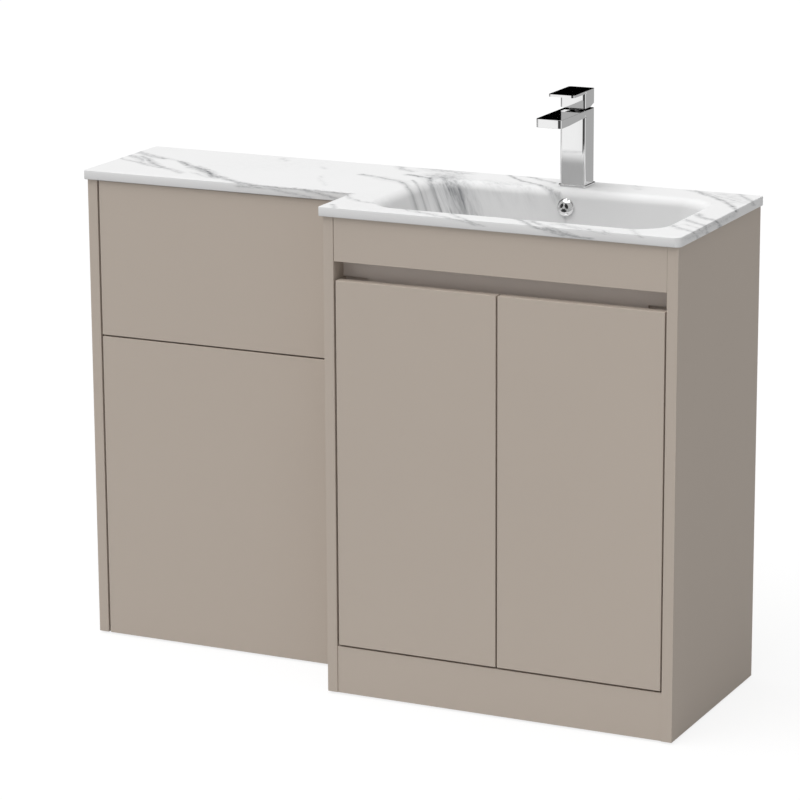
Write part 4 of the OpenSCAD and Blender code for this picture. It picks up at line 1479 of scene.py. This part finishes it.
HARDWARE: dict[Look, tuple[str, ...]] = {
    Look.CHROME: ("waste_body",),
    Look.STEEL: (
        "shelf_pins", "unit_connectors", "wall_brackets", "tap_stud", "tap_clamp", "tap_nut",
        "tap_pivot_pin", "hinge_cups_left", "hinge_cups_right", "hinge_pins_left",
        "hinge_pins_right", "hinge_arms", "hinge_plates", "hinge_plate_screws", "tap_stem",
    ),
    Look.WHITE: ("panel_sockets", "overflow_duct", "waste_nut", "tap_cartridge", "tap_aerator"),
    Look.GREY: ("panel_studs", "glides", "tap_carrier"),
    Look.CLEAR: ("door_buffers",),
    Look.BLACK: ("waste_seal", "waste_washer", "tap_gasket", "tap_clamp_pad"),
}


@dataclass
class Hardware:
    """The small fittings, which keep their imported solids."""

    looks: Mapping[Look, Sequence[str]] = field(default_factory=lambda: HARDWARE)

    def build(self) -> None:
        """Gives each fitting its finish."""
        for look, nodes in self.looks.items():
            for node in nodes:
                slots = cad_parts[node].material_slots
                for place in slots:
                    place.material = look.material()
                log.info("%s: %s in %d slots", node, look.name.lower(), len(slots))


@dataclass
class Studio:
    """The camera at the photograph's place, a plain pale floor and soft light."""

    camera_at: tuple[float, float, float] = (2.426, -5.0655, 1.883)
    azimuth: float = 25.61
    elevation: float = 14.25
    roll: float = -0.316
    lens: float = 159.21
    sensor: float = 36.0
    reach: float = 200.0
    # The light from the front left, and the even sky that weakens to the right.
    key_strength: float = 1.85
    key_from: tuple[float, float, float] = (-0.15, -0.33, 0.93)
    key_spread: float = 55.0
    sky: float = 0.53
    sky_fall: float = 0.25
    # The studio that polished metal mirrors.
    wall_tone: float = 0.5
    behind: Ramp = (-0.15, 6.0)
    over: Ramp = (0.75, 8.0)
    over_tone: float = 0.6
    horizon: Ramp = (0.02, 30.0)
    corner_x: Ramp = (0.0, 3.0)
    corner_y: Ramp = (-0.1, 3.0)
    corner_share: float = 0.56
    wing: Ramp = (-0.55, -3.0)
    wing_share: float = 0.7
    flag_x: float = 0.43
    flag_y: float = -0.9
    flag: Ramp = (0.66, 12.0)
    flag_share: float = 0.93
    floor_half: float = 60.0
    floor_drop: float = 0.2 * MM
    floor_bounce: float = 0.5
    floor_white: float = 0.95
    floor_glow: float = 1.02
    floor_glow_share: float = 0.8

    def build(self) -> None:
        """Sets up the camera, the lights, the floor and the colour handling."""
        self._camera()
        self._key()
        self._world()
        self._floor()
        bpy.context.scene.view_settings.view_transform = "Standard"

    def _camera(self) -> None:
        """The camera, aimed by azimuth, elevation and roll."""
        data = bpy.data.cameras.new("camera")
        data.sensor_width = self.sensor
        data.lens = self.lens
        data.clip_end = self.reach
        camera = self._added(data)
        turn = Matrix.Rotation(math.radians(self.azimuth), 4, "Z")
        tilt = Matrix.Rotation(math.radians(90 - self.elevation), 4, "X")
        lean = Matrix.Rotation(math.radians(self.roll), 4, "Z")
        camera.matrix_world = Matrix.Translation(self.camera_at) @ turn @ tilt @ lean
        bpy.context.scene.camera = camera

    def _key(self) -> None:
        """The broad soft light from the front left."""
        data = bpy.data.lights.new("key", "SUN")
        data.energy = self.key_strength
        data.angle = math.radians(self.key_spread)
        turn = Vector(self.key_from).to_track_quat("Z", "Y").to_euler()
        self._added(data).rotation_euler = turn

    @staticmethod
    def _added(data: bpy.types.ID) -> bpy.types.Object:
        """Puts an object with this data, and its name, into the scene.

        Args:
            data: a camera or a light.

        Returns:
            The new object.
        """
        made = bpy.data.objects.new(data.name, data)
        bpy.context.scene.collection.objects.link(made)
        return made

    def _world(self) -> None:
        """The white surround that the camera sees, and the studio that polished metal mirrors.

        The studio's upper half is a wall that is dark behind the object, under a pale ceiling. Its
        lower half is white, and darker in the back right corner, on the left wing and where a
        black flag stands. What isn't polished gets an even light, a little weaker from the right.
        """
        sheet = ShaderSheet(bpy.data.worlds.new("studio"))
        bpy.context.scene.world = sheet.owner
        camera_ray, glossy_ray, through_ray = sheet.outputs("LightPath", RAYS)
        direction = sheet.node("TexCoord", out="Generated")
        x, y, z = sheet.outputs("SeparateXYZ", "XYZ", {0: direction})
        corner = x.rise(*self.corner_x) * y.rise(*self.corner_y)
        flag = (x * self.flag_x + y * self.flag_y).rise(*self.flag)
        low = (1.0 - corner * self.corner_share) * (1.0 - x.rise(*self.wing) * self.wing_share)
        low = low * (1.0 - flag * self.flag_share)
        wall = self.wall_tone * (1.0 - y.rise(*self.behind))
        over = z.rise(*self.over)
        high = wall * (1.0 - over) + over * self.over_tone
        horizon = z.rise(*self.horizon)
        level = low * (1.0 - horizon) + high * horizon
        mirrored = sheet.blend(level.clamp(), grey(0.0), grey(1.0))
        strength = self.sky * (1.0 - self.sky_fall * x)
        plain = sheet.shader("Background", Color=grey(1.0), Strength=strength)
        white = sheet.shader("Background", Color=grey(1.0), Strength=1.0)
        seen = sheet.shader("Background", Color=mirrored, Strength=1.0)
        polished = sheet.mix(glossy_ray, plain, seen)
        shown = sheet.mix(camera_ray.most(through_ray), polished, white)
        sheet.node("OutputWorld", values={"Surface": shown})

    def _floor(self) -> None:
        """The pale floor.

        It is nearly white to the camera, with the object's soft shadow kept. It lights the object
        as grey paint does, and polished metal looks through it.
        """
        place = (0, 0, -self.floor_drop)
        bpy.ops.mesh.primitive_plane_add(size=2 * self.floor_half, location=place)
        floor = bpy.context.object
        floor.name = "floor"
        sheet = ShaderSheet.named("floor")
        camera_ray, glossy_ray, through_ray = sheet.outputs("LightPath", RAYS)
        paint = sheet.shader("BsdfDiffuse", Color=grey(self.floor_bounce))
        bright = sheet.shader("BsdfDiffuse", Color=grey(self.floor_white))
        glow = sheet.shader("Emission", Color=grey(1.0), Strength=self.floor_glow)
        gap = sheet.shader("BsdfTransparent", Color=grey(1.0))
        pale = sheet.mix(self.floor_glow_share, bright, glow)
        lit = sheet.mix(camera_ray.most(through_ray), paint, pale)
        floor.data.materials.append(sheet.close(sheet.mix(glossy_ray, lit, gap)))


def main() -> None:
    """Builds the scene in order and reports each piece."""
    logging.basicConfig(level=logging.INFO, format="%(name)s: %(message)s")
    for part in (Studio(), Cabinet(), Worktop(), Tap(), OverflowCover(), Waste(), Hardware()):
        part.build()


if __name__ == "__main__":
    main()
